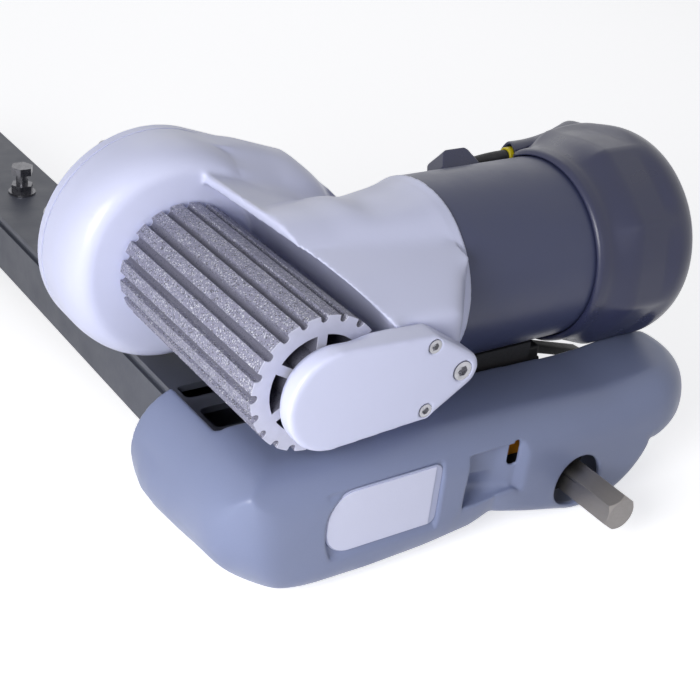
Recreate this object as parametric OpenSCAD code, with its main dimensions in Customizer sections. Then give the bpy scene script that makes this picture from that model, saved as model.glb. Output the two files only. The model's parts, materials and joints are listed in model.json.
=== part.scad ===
// Caravan motor mover: a motor, gear case and ribbed roller that slide on a base hung from a cross bar.
// Millimetres. X points away from the tyre, Y inboard along the roller's axis, Z up.
// The origin is the middle of the roller's axis, with the roller clear of the tyre.

/* [Roller] */
// Outside diameter over the ribs
roller_d = 70; // [60:1:74]
// Length of the roller
roller_len = 131; // [115:1:150]
// Ribs round the roller
rib_count = 20; // [16:1:24]
// Depth of a groove between two ribs
groove_depth = 3.3; // [2:0.1:4]
// Width of a groove at its floor
groove_w = 4; // [3:0.1:5]
// Hub diameter round the roller shaft
hub_d = 31; // [29:1:36]
// Rim wall from the rib tips in to the spoke slots
rim_wall = 9.5; // [8:0.5:11]
// Spokes in the roller's section
spoke_count = 6; // [4:1:8]
// Width of a spoke
spoke_w = 5; // [3:0.5:8]
// Roller shaft diameter
shaft_d = 20; // [18:1:22]
// Free space between a roller end and the part beside it
end_gap = 2.5; // [1.5:0.1:4]

/* [Gear train] */
// Module of the final gear, its pinion and the rack
tooth_m = 2; // [1.5:0.25:2]
// Teeth on the final gear
gear_teeth = 50; // [44:1:52]
// Teeth on the layshaft pinion
pinion_teeth = 18; // [16:1:20]
// Face width of the final gear
gear_w = 14; // [10:1:16]
// Module of the worm and its wheel
worm_m = 1.25; // [1:0.25:1.5]
// Teeth on the worm wheel
wheel_teeth = 30; // [26:1:32]
// Thread starts on the worm
worm_starts = 2; // [1:1:2]
// Pitch radius of the worm
worm_r = 8.25; // [7.5:0.25:9]
// Length of the worm's thread
worm_len = 21; // [16:1:22]
// Layshaft diameter
lay_d = 15; // [12:1:16]

/* [Gear case] */
// Casting wall outside the final gear's chamber
case_wall = 8.4; // [6:0.1:10]
// Thickness of the inboard lid
lid_t = 5; // [4:0.5:7]
// Radius of the trough that the roller lies in
trough_r = 45; // [42:0.5:47]
// Place of the trough's upper edge at the middle of the roller
edge_x = 19.6; // [16:0.2:24]
// Lean of that edge in plan, along X per millimetre of Y
edge_lean = 0.125; // [0.08:0.005:0.2]
// How far the case's shoulder steps in from its outline
shoulder_in = 11; // [8:0.5:12]
// Radius of the gear case's upper lobe
lobe_r = 38; // [34:1:42]
// Upper lobe's place along X
lobe_x = 66; // [62:1:70]
// Upper lobe's height
lobe_z = 2; // [0:0.5:4]
// Radius of the tail behind the lobe
tail_r = 13; // [10:1:16]
// Tail's place along X
tail_x = 112; // [104:1:116]
// Tail's height
tail_z = -6; // [-10:0.5:-2]

/* [Motor] */
// Motor axis inboard of the roller's middle
motor_y = 14.5; // [10:0.5:18]
// Motor tube outside diameter
tube_d = 102.6; // [98:0.2:104]
// Motor tube wall
tube_wall = 3; // [2.5:0.1:4]
// Motor tube length
tube_len = 91; // [80:1:100]
// Step from the casting's barrel down to the tube
barrel_step = 1.2; // [0.6:0.1:2]
// End of the casting's barrel along X
barrel_x = 111; // [106:0.5:114]
// How much narrower the barrel's radius is at the gear case
barrel_neck = 6; // [3:0.5:7]
// Air gap between the magnets and the armature core
air_gap = 2.3; // [1.5:0.1:3]
// Magnet thickness
magnet_t = 14; // [8:0.5:14.5]
// Motor shaft diameter
motor_shaft_d = 12; // [10:1:13]

/* [Motor cap] */
// How far the cap's lobes stand out from the tube
cap_swell = 9.7; // [8:0.1:11]
// Cap length
cap_len = 72; // [64:1:78]
// Length of the cap's lip over the tube
cap_lip = 3; // [2:0.5:6]
// Cap wall
cap_wall = 3.5; // [2.5:0.1:4]
// Shallow flutes round the cap
flute_count = 8; // [6:1:10]
// Depth of a flute
flute_depth = 2.2; // [1:0.1:2.6]
// Cable diameter
cable_d = 8; // [6:0.5:9]
// Lean of the cable's run from the top of the motor, inboard, in degrees
cable_lean = 46; // [38:1:50]

/* [Support arm] */
// Arm radius round the roller shaft
arm_r = 26; // [25:0.5:28]
// Arm thickness
arm_t = 15; // [14:0.5:18]
// Small screws' place along X
arm_screw_x = 51.5; // [49:0.5:54]
// Small screws' height above and below the middle
arm_screw_z = 17.3; // [15:0.1:18]
// Ear screw's place along X
ear_x = 70.7; // [68:0.1:74]
// Ear radius
ear_r = 10; // [8.5:0.5:11]

/* [Slide] */
// Travel of the drive unit towards the tyre
travel = 30; // [20:1:31]
// Guide rod diameter
rod_d = 10; // [9:0.5:10]
// Distance between the two guide rods
rod_pitch = 18; // [17.5:0.5:18.5]
// Guide rods' height
rod_z = -68; // [-69:0.5:-67]
// Carriage length along X
carriage_len = 60; // [50:1:64]
// Teeth on the actuator pinion
actuator_teeth = 14; // [12:1:14]
// Rack and actuator pinion width
rack_w = 10; // [8:0.5:11]

/* [Hexagon] */
// Hexagon across flats, for the wind-down brace
hex_af = 19; // [17:1:19]
// Hexagon's axis along X
hex_x = 178; // [172:0.5:182]
// Hexagon's axis height
hex_z = -100; // [-102:0.5:-98]
// Hexagon's free length outside the cover
hex_out = 34.5; // [25:0.5:45]
// Shaft journal diameter
journal_d = 18; // [16:1:18]

/* [Base cover] */
// Cover wall
cover_wall = 3.5; // [2.5:0.1:4]
// Outboard face of the cover
cover_y = -74; // [-76:0.5:-73]
// Inboard edge of the cover
cover_back = -17.5; // [-19:0.5:-16.5]
// Radius of the cover's end towards the tyre
bulge_r = 32; // [30:0.5:33]
// Place of that radius along X
bulge_x = -13; // [-15:0.5:-11]
// Height of that radius
bulge_z = -78; // [-79:0.5:-77]
// Far end of the cover's wing beside the cross bar
wing_y = 28; // [20:1:36]
// Inner edge of that wing
wing_x = -22; // [-25:0.5:-19]
// Radius of the cover's nose in plan
nose_r = 48; // [42:1:52]
// Tip of the nose along X
nose_x = 280; // [270:1:286]
// Radius of the swelling round the hexagon
boss_r = 47; // [40:0.5:50]
// Rounding of that swelling's front edge
boss_edge = 8; // [5:0.5:10]
// Hole round the hexagon
hex_hole_d = 32; // [28:0.5:34]

/* [Cross bar] */
// Bar width
bar_w = 56; // [50:1:60]
// Bar height
bar_h = 38; // [34:1:42]
// Bar wall
bar_wall = 4; // [3:0.5:5]
// Face of the bar towards the tyre
bar_x = -8; // [-12:0.5:-6]
// Top of the bar
bar_z = -68.5; // [-72:0.5:-68.5]
// Open inboard end of the bar
bar_end = 455; // [440:1:500]
// Upright bolt's place along the bar
bolt_y = 325; // [300:1:350]

/* [Fits] */
// Radial clearance of a running or sliding fit
run_clear = 0.05; // [0.02:0.01:0.1]
// Space kept between parts that move past each other
part_gap = 0.5; // [0.3:0.1:1]
// Backlash between meshing teeth
backlash = 0.4; // [0.3:0.05:0.6]
// Extra centre distance of meshing gears
mesh_play = 0.15; // [0.1:0.05:0.3]

/* [Hidden] */
// Which sub-part to draw
$fn = 64;
eps = 0.02;
big = 600;

// Roller, arm and gear case along Y
roller_r = roller_d / 2;
roller_y0 = -roller_len / 2;
roller_y1 = roller_len / 2;
arm_in = roller_y0 - end_gap;
arm_out = arm_in - arm_t;
case_front = roller_y1 + end_gap;
bearing_w = 12;
seal_w = 4;
brg_y0 = case_front + seal_w;
brg_y1 = brg_y0 + bearing_w;
gear_y0 = brg_y1 + 2;
gear_y1 = gear_y0 + gear_w;
lid_y0 = gear_y1 + 3;
lid_y1 = lid_y0 + lid_t;

// Gear train in the XZ plane
tooth_add = 0.8;
tooth_ded = 1.25;
press_angle = 25;
gear_r = tooth_m * gear_teeth / 2;
pinion_r = tooth_m * pinion_teeth / 2;
wheel_r = worm_m * wheel_teeth / 2;
lay_z = -(worm_r + wheel_r + mesh_play);
lay_x = sqrt(pow(gear_r + pinion_r + mesh_play, 2) - lay_z * lay_z);
lay_turn = atan2(lay_z, lay_x);
chamber_r = gear_r + tooth_add * tooth_m + 1;
case_r = chamber_r + case_wall;
lay_case_r = pinion_r + tooth_add * tooth_m + 5.5;
rim_deep = 19;
rim_y1 = case_front + rim_deep;
rim_low = 0.25;
rim = [
  for (a = [0:15:90])
    [-shoulder_in * (1 - sin(a)) - rim_low, case_front + rim_deep * (1 - cos(a))]
];
pinion_room = pinion_r + tooth_add * tooth_m + 1.5;
wheel_w = 12;
wheel_room = wheel_r + tooth_add * worm_m + 1.5;
lay_brg_d = 32;
lay_brg_w = 9;
lay_y0 = motor_y - wheel_w / 2 - 2 - lay_brg_w;
lay_y1 = gear_y1 + 1;

// Motor along X
tube_r = tube_d / 2;
barrel_r = tube_r + barrel_step;
tube_in = tube_r - tube_wall;
tube_x1 = barrel_x + tube_len;
worm_x0 = lay_x - worm_len / 2;
worm_x1 = lay_x + worm_len / 2;
worm_brg_d = 32;
worm_brg_w = 9;
worm_brg_x = lay_x + sqrt(pow(wheel_room, 2) - pow(-lay_z - worm_brg_d / 2, 2));
spigot_len = 6;
bell_t = 6;
bell_x1 = tube_x1 + bell_t;
rear_brg_x = tube_x1 - 6;
comm_d = 26;
comm_len = 12;
comm_x1 = rear_brg_x - 2;
comm_x0 = comm_x1 - comm_len;
coil_w = 6;
core_d = 2 * (tube_in - magnet_t - air_gap);
core_x0 = barrel_x + spigot_len + coil_w + 2;
core_x1 = comm_x0 - coil_w - 2;
core_len = core_x1 - core_x0;
cap_r = tube_r + cap_swell;
cap_x0 = tube_x1 - cap_lip;
cap_x1 = cap_x0 + cap_len;
cable_r = tube_r + cable_d / 2 + 0.4;

// Slide
frame_y0 = cover_y + 14;
frame_y1 = cover_back + 1;
rod_y = (frame_y0 + frame_y1) / 2;
rod_y1 = rod_y - rod_pitch / 2;
rod_y2 = rod_y + rod_pitch / 2;
frame_wall = 4;
frame_x0 = -20;
frame_x1 = hex_x + travel + 20;
frame_end = 6;
frame_z0 = rod_z - 22;
frame_z1 = rod_z + 1;
carriage_x = 70;
carriage_x1 = carriage_x + carriage_len;
carriage_y0 = frame_y0 + frame_wall + 1;
carriage_y1 = frame_y1 - frame_wall - 1;
carriage_z1 = rod_z + rod_d / 2 + 4.5;
carriage_z0 = frame_z0 + frame_wall + 3;
bush_t = 1.5;
bush_len = 14;
actuator_r = tooth_m * actuator_teeth / 2;
rack_z = hex_z + actuator_r + mesh_play;
rack_top = rack_z + 8.5;
rack_x0 = carriage_x + 8;
rack_x1 = hex_x + travel + 9;
saddle_y1 = motor_y + 26;
saddle_x1 = carriage_x1 + 52;
turn_range = travel / actuator_r * 180 / PI;

// Cover
cover_tilt = 2;
cover_top = bulge_z + bulge_r;
nose_in = nose_x - nose_r;
front_top_r = 22;
front_low_r = 14;
pocket_x0 = 98;
pocket_x1 = 137;
pocket_z0 = -92;
pocket_z1 = -63;
pocket_deep = 7;
slot_x = 129;
slot_r = 2.9;
slot_z0 = -75.5;
slot_z1 = -65;
label_x0 = 9.5;
label_x1 = 79;
label_z0 = -98;
label_z1 = -61;
label_deep = 2;
flag_y = cover_y + pocket_deep + cover_wall + 0.8;
flag_t = 2;
flag_low = -77;

// Cross bar
bar_y0 = frame_y1;
bar_mid = bar_x + bar_w / 2;
bolt_d = 8;
bolt_head_h = 5.3;
bolt_rise = 7.5;
nut_h = 6.5;
nut_af = 13;

// Shared helpers
module along_y(y0, y1) {
  translate([0, y1, 0])
    rotate([90, 0, 0])
      linear_extrude(y1 - y0)
        children();
}

module along_x(x0, x1) {
  translate([x0, 0, 0])
    rotate([90, 0, 90])
      linear_extrude(x1 - x0)
        children();
}

module y_rod(r, y0, y1, x = 0, z = 0) {
  translate([x, y0, z])
    rotate([-90, 0, 0])
      cylinder(r = r, h = y1 - y0);
}

module x_rod(r, x0, x1, y = 0, z = 0) {
  translate([x0, y, z])
    rotate([0, 90, 0])
      cylinder(r = r, h = x1 - x0);
}

module z_rod(r, z0, z1, x = 0, y = 0) {
  translate([x, y, z0])
    cylinder(r = r, h = z1 - z0);
}

// Turns children so that local Z points out from the motor axis at the cable's lean
module on_motor(lean) {
  translate([0, motor_y, 0])
    rotate([-lean, 0, 0])
      children();
}

// Tangent points of two circles, pulled in a little so that each line crosses its circle cleanly
function tangents(a, ra, b, rb) =
  let (
    d = b - a,
    u = d / norm(d),
    v = [-u[1], u[0]],
    c = (ra - rb) / norm(d),
    s = sqrt(1 - c * c),
    p = ra - eps,
    q = rb - eps
  )
  [a + p * (c * u + s * v), b + q * (c * u + s * v), b + q * (c * u - s * v), a + p * (c * u - s * v)];

module strap(a, ra, b, rb) {
  polygon(tangents(a, ra, b, rb));
}

module disc(a, ra) {
  translate(a)
    circle(ra);
}

module belt(a, ra, b, rb) {
  disc(a, ra);
  disc(b, rb);
  strap(a, ra, b, rb);
}

// Involute gear outline, with one tooth on the first axis
function involute(a) = tan(a) - a * PI / 180;

function flank(m, n, r) =
  let (
    rp = m * n / 2,
    rb = rp * cos(press_angle),
    half = 90 / n - backlash / 4 / rp * 180 / PI
  )
  half + (involute(press_angle) - involute(acos(min(1, rb / max(r, rb))))) * 180 / PI;

function gear_outline(m, n) =
  let (
    rp = m * n / 2,
    root = rp - tooth_ded * m,
    tip = rp + tooth_add * m,
    radii = [root, rp - 0.55 * m, rp, rp + 0.4 * m, tip]
  )
  [
    for (i = [0:n - 1])
      each concat(
        [for (r = radii) r * [cos(i * 360 / n - flank(m, n, r)), sin(i * 360 / n - flank(m, n, r))]],
        [
          for (k = [4:-1:0])
            radii[k] * [cos(i * 360 / n + flank(m, n, radii[k])), sin(i * 360 / n + flank(m, n, radii[k]))]
        ]
      )
  ];

// Worm section: the axial trapezium of each thread wound round one turn
function worm_depth(u) =
  let (
    half = worm_m * PI / 4 - backlash / 4,
    tip = half - tooth_add * worm_m * tan(20),
    root = half + tooth_ded * worm_m * tan(20)
  )
  abs(u) <= tip ? tooth_add * worm_m
    : abs(u) >= root ? -tooth_ded * worm_m
    : tooth_add * worm_m - (abs(u) - tip) / tan(20);

function worm_outline(steps) =
  [
    for (i = [0:steps - 1])
      let (
        a = 360 * i / steps,
        pitch = worm_m * PI,
        along = a / 360 * worm_starts * pitch,
        u = along - pitch * round(along / pitch),
        r = worm_r + worm_depth(u)
      )
      r * [cos(a), sin(a)]
  ];

// A shielded ball bearing as one ring with a groove in each face
module bearing(bore, outer, width) {
  ring = (outer - bore) / 2;
  rotate_extrude()
    difference() {
      translate([bore / 2, 0])
        square([ring, width]);
      translate([bore / 2 + ring * 0.28, -eps])
        square([ring * 0.44, 0.6]);
      translate([bore / 2 + ring * 0.28, width - 0.6])
        square([ring * 0.44, 0.6 + eps]);
    }
}

// Socket head screw along +Z from its seat at 0: head below the seat, shank above it
module socket_screw(d, head_d, head_h, len) {
  difference() {
    union() {
      translate([0, 0, -head_h])
        cylinder(d = head_d, h = head_h);
      cylinder(d = d, h = len);
    }
    translate([0, 0, -head_h - eps])
      cylinder(d = head_d * 0.58, h = head_h * 0.6, $fn = 6);
  }
}

module hex_screw(d, af, head_h, len) {
  translate([0, 0, -head_h])
    cylinder(d = af / cos(30), h = head_h, $fn = 6);
  cylinder(d = d, h = len);
}

// Base: bar, frame and cowl

module bar_section() {
  difference() {
    translate([bar_x, bar_z - bar_h])
      square([bar_w, bar_h]);
    translate([bar_x + bar_wall, bar_z - bar_h + bar_wall])
      square([bar_w - 2 * bar_wall, bar_h - 2 * bar_wall]);
    for (side = [bar_x - eps, bar_x + bar_w - 2])
      translate([side, bar_z - 7.5])
        square([2 + eps, 4.5]);
  }
}

module cross_bar() {
  color([0.28, 0.29, 0.34])
    difference() {
      along_y(bar_y0, bar_end)
        bar_section();
      z_rod(bolt_d / 2, bar_z - bar_wall - 1, bar_z + 1, bar_mid, bolt_y);
    }
}

module bar_bolt() {
  color([0.62, 0.62, 0.64])
    translate([bar_mid, bolt_y, bar_z + nut_h + bolt_rise])
      rotate([180, 0, 0])
        hex_screw(bolt_d, nut_af, bolt_head_h, nut_h + bolt_rise + bar_wall + 2);
}

module bar_nut() {
  color([0.55, 0.55, 0.57])
    translate([bar_mid, bolt_y, bar_z])
      difference() {
        union() {
          cylinder(d = nut_af + 5, h = 1.4);
          cylinder(d = nut_af / cos(30), h = nut_h, $fn = 6);
        }
        translate([0, 0, -1])
          cylinder(d = bolt_d, h = nut_h + 2);
      }
}

plug_len = 34;
plug_bolt_x = [bar_mid - 11, bar_mid + 11];
plug_bolt_z = frame_z0 + frame_wall + 7.2;

module bar_plug() {
  color([0.35, 0.35, 0.37])
    difference() {
      translate([bar_x + bar_wall, bar_y0, bar_z - bar_h + bar_wall])
        cube([bar_w - 2 * bar_wall, plug_len, bar_h - 2 * bar_wall]);
      for (x = plug_bolt_x)
        y_rod(4, bar_y0 - 1, bar_y0 + 22, x, plug_bolt_z);
    }
}

module frame_bolts() {
  color([0.6, 0.6, 0.62])
    for (x = plug_bolt_x)
      translate([x, frame_y1 - frame_wall, plug_bolt_z])
        rotate([-90, 0, 0])
          hex_screw(8, 13, 5.3, frame_wall + 22);
}

module frame_side() {
  translate([frame_x0, frame_z0])
    square([frame_x1 - frame_x0, frame_z1 - frame_z0]);
  belt([hex_x, hex_z], 14.5, [hex_x, frame_z0 + 5], 16);
}

module base_frame() {
  slot_y = rack_w / 2 + 2;
  color([0.2, 0.2, 0.22])
    difference() {
      union() {
        along_y(frame_y0, frame_y0 + frame_wall)
          frame_side();
        along_y(frame_y1 - frame_wall, frame_y1)
          frame_side();
        translate([frame_x0, frame_y0, frame_z0])
          cube([frame_x1 - frame_x0, frame_y1 - frame_y0, frame_wall]);
        for (x = [frame_x0, frame_x1 - frame_end])
          translate([x, frame_y0, frame_z0])
            cube([frame_end, frame_y1 - frame_y0, rod_z + rod_d / 2 + 2 - frame_z0]);
      }
      translate([rack_x0 - travel - 4, rod_y - slot_y, frame_z0 - 1])
        cube([frame_x1 - frame_end - rack_x0 + travel + 2, 2 * slot_y, frame_wall + 2]);
      translate([hex_x - actuator_r - 4, frame_y0 + frame_wall, frame_z0 - 1])
        cube([2 * actuator_r + 8, frame_y1 - frame_y0 - 2 * frame_wall, frame_wall + 2]);
      for (y = [rod_y1, rod_y2])
        x_rod(3, frame_x0 - 1, frame_x1 + 1, y, rod_z);
      y_rod(journal_d / 2 + 2, frame_y0 - 1, frame_y1 + 1, hex_x, hex_z);
      for (x = plug_bolt_x)
        y_rod(4, frame_y1 - frame_wall - 1, frame_y1 + 1, x, plug_bolt_z);
      for (x = cover_screw_x)
        z_rod(2, frame_z0 - 1, frame_z0 + frame_wall + 1, x, cover_screw_y);
    }
}

module guide_rods() {
  color([0.72, 0.72, 0.74])
    for (y = [rod_y1, rod_y2])
      difference() {
        x_rod(rod_d / 2, frame_x0 + frame_end, frame_x1 - frame_end, y, rod_z);
        x_rod(3, frame_x0, frame_x0 + frame_end + 14, y, rod_z);
        x_rod(3, frame_x1 - frame_end - 14, frame_x1, y, rod_z);
      }
}

module rod_screws() {
  color([0.5, 0.5, 0.52])
    for (y = [rod_y1, rod_y2]) {
      translate([frame_x0, y, rod_z])
        rotate([0, 90, 0])
          socket_screw(6, 10, 4, frame_end + 13);
      translate([frame_x1, y, rod_z])
        rotate([0, -90, 0])
          socket_screw(6, 10, 4, frame_end + 13);
    }
}

module shaft_bushes() {
  color([0.66, 0.5, 0.28])
    for (y = [frame_y0, frame_y1 - frame_wall])
      difference() {
        y_rod(journal_d / 2 + 2, y, y + frame_wall, hex_x, hex_z);
        y_rod(journal_d / 2 + run_clear, y - 1, y + frame_wall + 1, hex_x, hex_z);
      }
}

// The cowl's long form is the common part of its side view, its plan, its two rounded front edges, its
// softened lower corner and its round nose. The swelling round the hexagon joins it. All are inset by the wall.
plan_corner = 28;
corner_x = bulge_x - bulge_r + plan_corner;
nose_tip_r = 18;
nose_tip_x = nose_in + 30;

module cover_side(inset) {
  along_y(-big, big)
    belt([bulge_x, bulge_z], bulge_r - inset, [nose_tip_x, bulge_z + 4], nose_tip_r - inset);
}

module cover_plan(inset) {
  translate([0, 0, -big])
    linear_extrude(2 * big) {
      belt(
        [corner_x, cover_y + plan_corner], plan_corner - inset,
        [nose_x + 60, cover_y + plan_corner], plan_corner - inset
      );
      translate([bulge_x - bulge_r + inset, cover_y + plan_corner])
        square([wing_x - bulge_x + bulge_r - inset, wing_y - inset - cover_y - plan_corner]);
      translate([bulge_x - bulge_r + inset, cover_y + plan_corner])
        square([nose_x - bulge_x + bulge_r, 40]);
    }
}

// Rounded edge along X: the front is at cover_y, the top at 0
module edge_section(r, inset) {
  translate([cover_y + r, -r])
    circle(r - inset);
  translate([cover_y + r, -big])
    square([big, big - inset]);
  translate([cover_y + inset, -big])
    square([r, big - r]);
}

module cover_top_edge(inset) {
  translate([bulge_x, 0, cover_top])
    rotate([0, cover_tilt, 0])
      along_x(-big, big)
        edge_section(front_top_r, inset);
}

module cover_low_edge(inset) {
  translate([bulge_x, 0, cover_low(bulge_x) - 0.3])
    rotate([0, -low_rise, 0])
      along_x(-big, big)
        mirror([0, 1])
          edge_section(front_low_r, inset);
}

module cover_corner(inset) {
  r = bulge_r;
  z = bulge_z - bulge_r - 1.5;
  translate([corner_x, cover_y + plan_corner, z + r])
    rotate([0, 0, 225])
      along_y(-big, big) {
        translate([-5, 0])
          circle(r - inset);
        translate([-5 - big, inset - r])
          square([big, 2 * r + 100]);
        translate([-6, 0])
          square([r + 1 - inset, r + 100]);
      }
}

module cover_nose(inset) {
  top = cover_top - (nose_in - bulge_x) * tan(cover_tilt);
  low = cover_low(nose_in) - 0.3;
  low_r = front_low_r + 3;
  translate([-big, -big, -big])
    cube([big + nose_in, 2 * big, 2 * big]);
  translate([nose_in, cover_y + nose_r, 0])
    rotate_extrude() {
      translate([nose_r - front_top_r, top - front_top_r])
        circle(front_top_r - inset);
      translate([nose_r - low_r, low + low_r])
        circle(low_r - inset);
      translate([0, low + inset])
        square([nose_r - low_r, low_r]);
      translate([0, low + low_r])
        square([nose_r - inset, top - front_top_r - low - low_r]);
      translate([0, low + low_r])
        square([nose_r - front_top_r, top - inset - low - low_r]);
    }
}

// Swelling: two discs and the straight side under them, all with one rounded front edge
boss_end = [hex_x - 50, bulge_z - 6];
boss_mid = [hex_x + 9, bulge_z + 2];
boss_end_r = 17;
boss_front = cover_y + eps;
boss_deep = cover_back - cover_y + 5;

module boss_disc(a, r, inset) {
  translate([a[0], boss_front, a[1]])
    rotate([-90, 0, 0])
      rotate_extrude() {
        translate([0, inset])
          square([r - boss_edge, boss_deep]);
        translate([0, boss_edge])
          square([r - inset, boss_deep]);
        translate([r - boss_edge, boss_edge])
          circle(boss_edge - inset);
      }
}

module boss_side(inset) {
  t = tangents(boss_end, boss_end_r, boss_mid, boss_r);
  d = t[3] - t[2];
  translate([t[2][0], boss_front, t[2][1]])
    rotate([0, -atan2(d[1], d[0]), 0])
      along_x(0, norm(d)) {
        translate([inset, -14])
          square([boss_deep, 14 - boss_edge]);
        translate([boss_edge, -14])
          square([boss_deep, 14 - inset]);
        translate([boss_edge, -boss_edge])
          circle(boss_edge - inset);
      }
}

module cover_boss(inset) {
  intersection() {
    union() {
      boss_disc(boss_end, boss_end_r, inset);
      boss_disc(boss_mid, boss_r, inset);
      boss_side(inset);
      along_y(boss_front + inset, boss_front + boss_deep)
        strap(boss_end, boss_end_r - 10, boss_mid, boss_r - 10);
    }
    translate([-big, -big, -big])
      cube([2 * big, 2 * big, big + boss_mid[1] - 4]);
  }
}

module cover_form(inset) {
  intersection() {
    cover_side(inset);
    cover_plan(inset);
    cover_top_edge(inset);
    cover_low_edge(inset);
    cover_corner(inset);
    cover_nose(inset);
  }
  cover_boss(inset);
}

cover_screw_x = [6, 92];
cover_screw_y = frame_y1 - 10;

// Slope of the cowl's underside, and its height at a place along X outside the swelling
low_rise = atan((4 + bulge_r - nose_tip_r) / (nose_tip_x - bulge_x));
function cover_low(x) = bulge_z - bulge_r + (x - bulge_x) * tan(low_rise);

module pocket_cut(out) {
  translate([0, 0, pocket_z0 - out])
    linear_extrude(pocket_z1 - pocket_z0 + 2 * out)
      polygon([
        [pocket_x0 - out, cover_y - 20],
        [pocket_x0 - out, cover_y + pocket_deep + out],
        [slot_x - 8, cover_y + 5 + out],
        [slot_x + 2, cover_y + 4 + out],
        [pocket_x1 + out, cover_y],
        [pocket_x1 + out, cover_y - 20]
      ]);
}

module base_cover() {
  color([0.42, 0.45, 0.54])
    difference() {
      union() {
        difference() {
          cover_form(0);
          cover_form(cover_wall);
          translate([wing_x, cover_back, -big])
            cube([big, big, 2 * big]);
          translate([wing_x - cover_wall - 14, cover_back, bulge_z - bulge_r + cover_wall])
            cube([40, wing_y - cover_back - cover_wall, bulge_r + 6]);
        }
        intersection() {
          cover_form(0.1);
          pocket_cut(1.8);
        }
        for (x = cover_screw_x)
          z_rod(6, cover_low(x) + 1.5, frame_z0 - eps, x, cover_screw_y);
      }
      pocket_cut(0);
      along_y(cover_y - 5, cover_y + pocket_deep + 4)
        belt([slot_x, slot_z0], slot_r, [slot_x, slot_z1], slot_r);
      along_y(cover_y - 5, cover_y + label_deep)
        label_window(0);
      y_rod(hex_hole_d / 2, cover_y - 20, cover_y + 12, hex_x, hex_z);
      for (x = cover_screw_x) {
        z_rod(2.1, -big, frame_z0 + 1, x, cover_screw_y);
        z_rod(4.2, -big, cover_low(x) + 4, x, cover_screw_y);
      }
    }
}

module cover_screws() {
  color([0.25, 0.25, 0.27])
    for (x = cover_screw_x)
      translate([x, cover_screw_y, cover_low(x) + 4])
        socket_screw(4, 8, 3, frame_z0 + frame_wall - cover_low(x) - 4);
}

module label_window(inset, right = label_x1) {
  left_r = 16;
  translate([label_x0 + left_r, label_z0 + inset])
    square([right - label_x0 - left_r, label_z1 - label_z0 - 2 * inset]);
  translate([label_x0 + inset, label_z0 + left_r])
    square([left_r, label_z1 - label_z0 - 2 * left_r]);
  translate([label_x0 + left_r, label_z0 + left_r])
    circle(left_r - inset);
  translate([label_x0 + left_r, label_z1 - left_r])
    circle(left_r - inset);
}

module label_plate() {
  color([0.93, 0.93, 0.95])
    along_y(cover_y + label_deep - 0.8, cover_y + label_deep)
      label_window(1, label_x1 - 5);
}

// Actuator: the hexagon, its pinion and its retaining ring

hex_end = cover_y - hex_out;
hex_in = cover_y + 6;

module hex_shaft() {
  corner = hex_af / cos(30) / 2;
  color([0.5, 0.49, 0.48])
    difference() {
      union() {
        intersection() {
          translate([hex_x, hex_end, hex_z])
            rotate([-90, 0, 0])
              rotate([0, 0, 38])
                cylinder(r = corner, h = hex_in - hex_end, $fn = 6);
          translate([hex_x, hex_end, hex_z])
            rotate([-90, 0, 0])
              rotate_extrude()
                polygon([[0, 0], [hex_af / 2 - 0.3, 0], [corner + 1, 3], [corner + 1, 80], [0, 80]]);
        }
        y_rod(journal_d / 2, hex_in - 1, frame_y1 + 6, hex_x, hex_z);
      }
      difference() {
        y_rod(journal_d / 2 + 1, frame_y1 + 1.5, frame_y1 + 3, hex_x, hex_z);
        y_rod(journal_d / 2 - 1, frame_y1, frame_y1 + 4, hex_x, hex_z);
      }
    }
}

module actuator_pinion() {
  color([0.4, 0.4, 0.42])
    difference() {
      along_y(rod_y - rack_w / 2, rod_y + rack_w / 2)
        translate([hex_x, hex_z])
          rotate(90)
            polygon(gear_outline(tooth_m, actuator_teeth));
      y_rod(journal_d / 2, rod_y - rack_w, rod_y + rack_w, hex_x, hex_z);
    }
}

module shaft_circlip() {
  color([0.3, 0.3, 0.32])
    difference() {
      y_rod(journal_d / 2 + 3, frame_y1 + 1.5, frame_y1 + 3, hex_x, hex_z);
      y_rod(journal_d / 2 - 1, frame_y1, frame_y1 + 4, hex_x, hex_z);
      translate([hex_x - 4, frame_y1, hex_z])
        cube([8, 5, 20]);
    }
}

// Drive unit: slide

saddle_z0 = bar_z + 2.5;
saddle_bolt_x = [carriage_x + 6, barrel_x - 10];
saddle_bolt_y = [motor_y - 14, motor_y + 20];
saddle_bolt_len = 25;
saddle_rise = 7.5;

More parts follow.
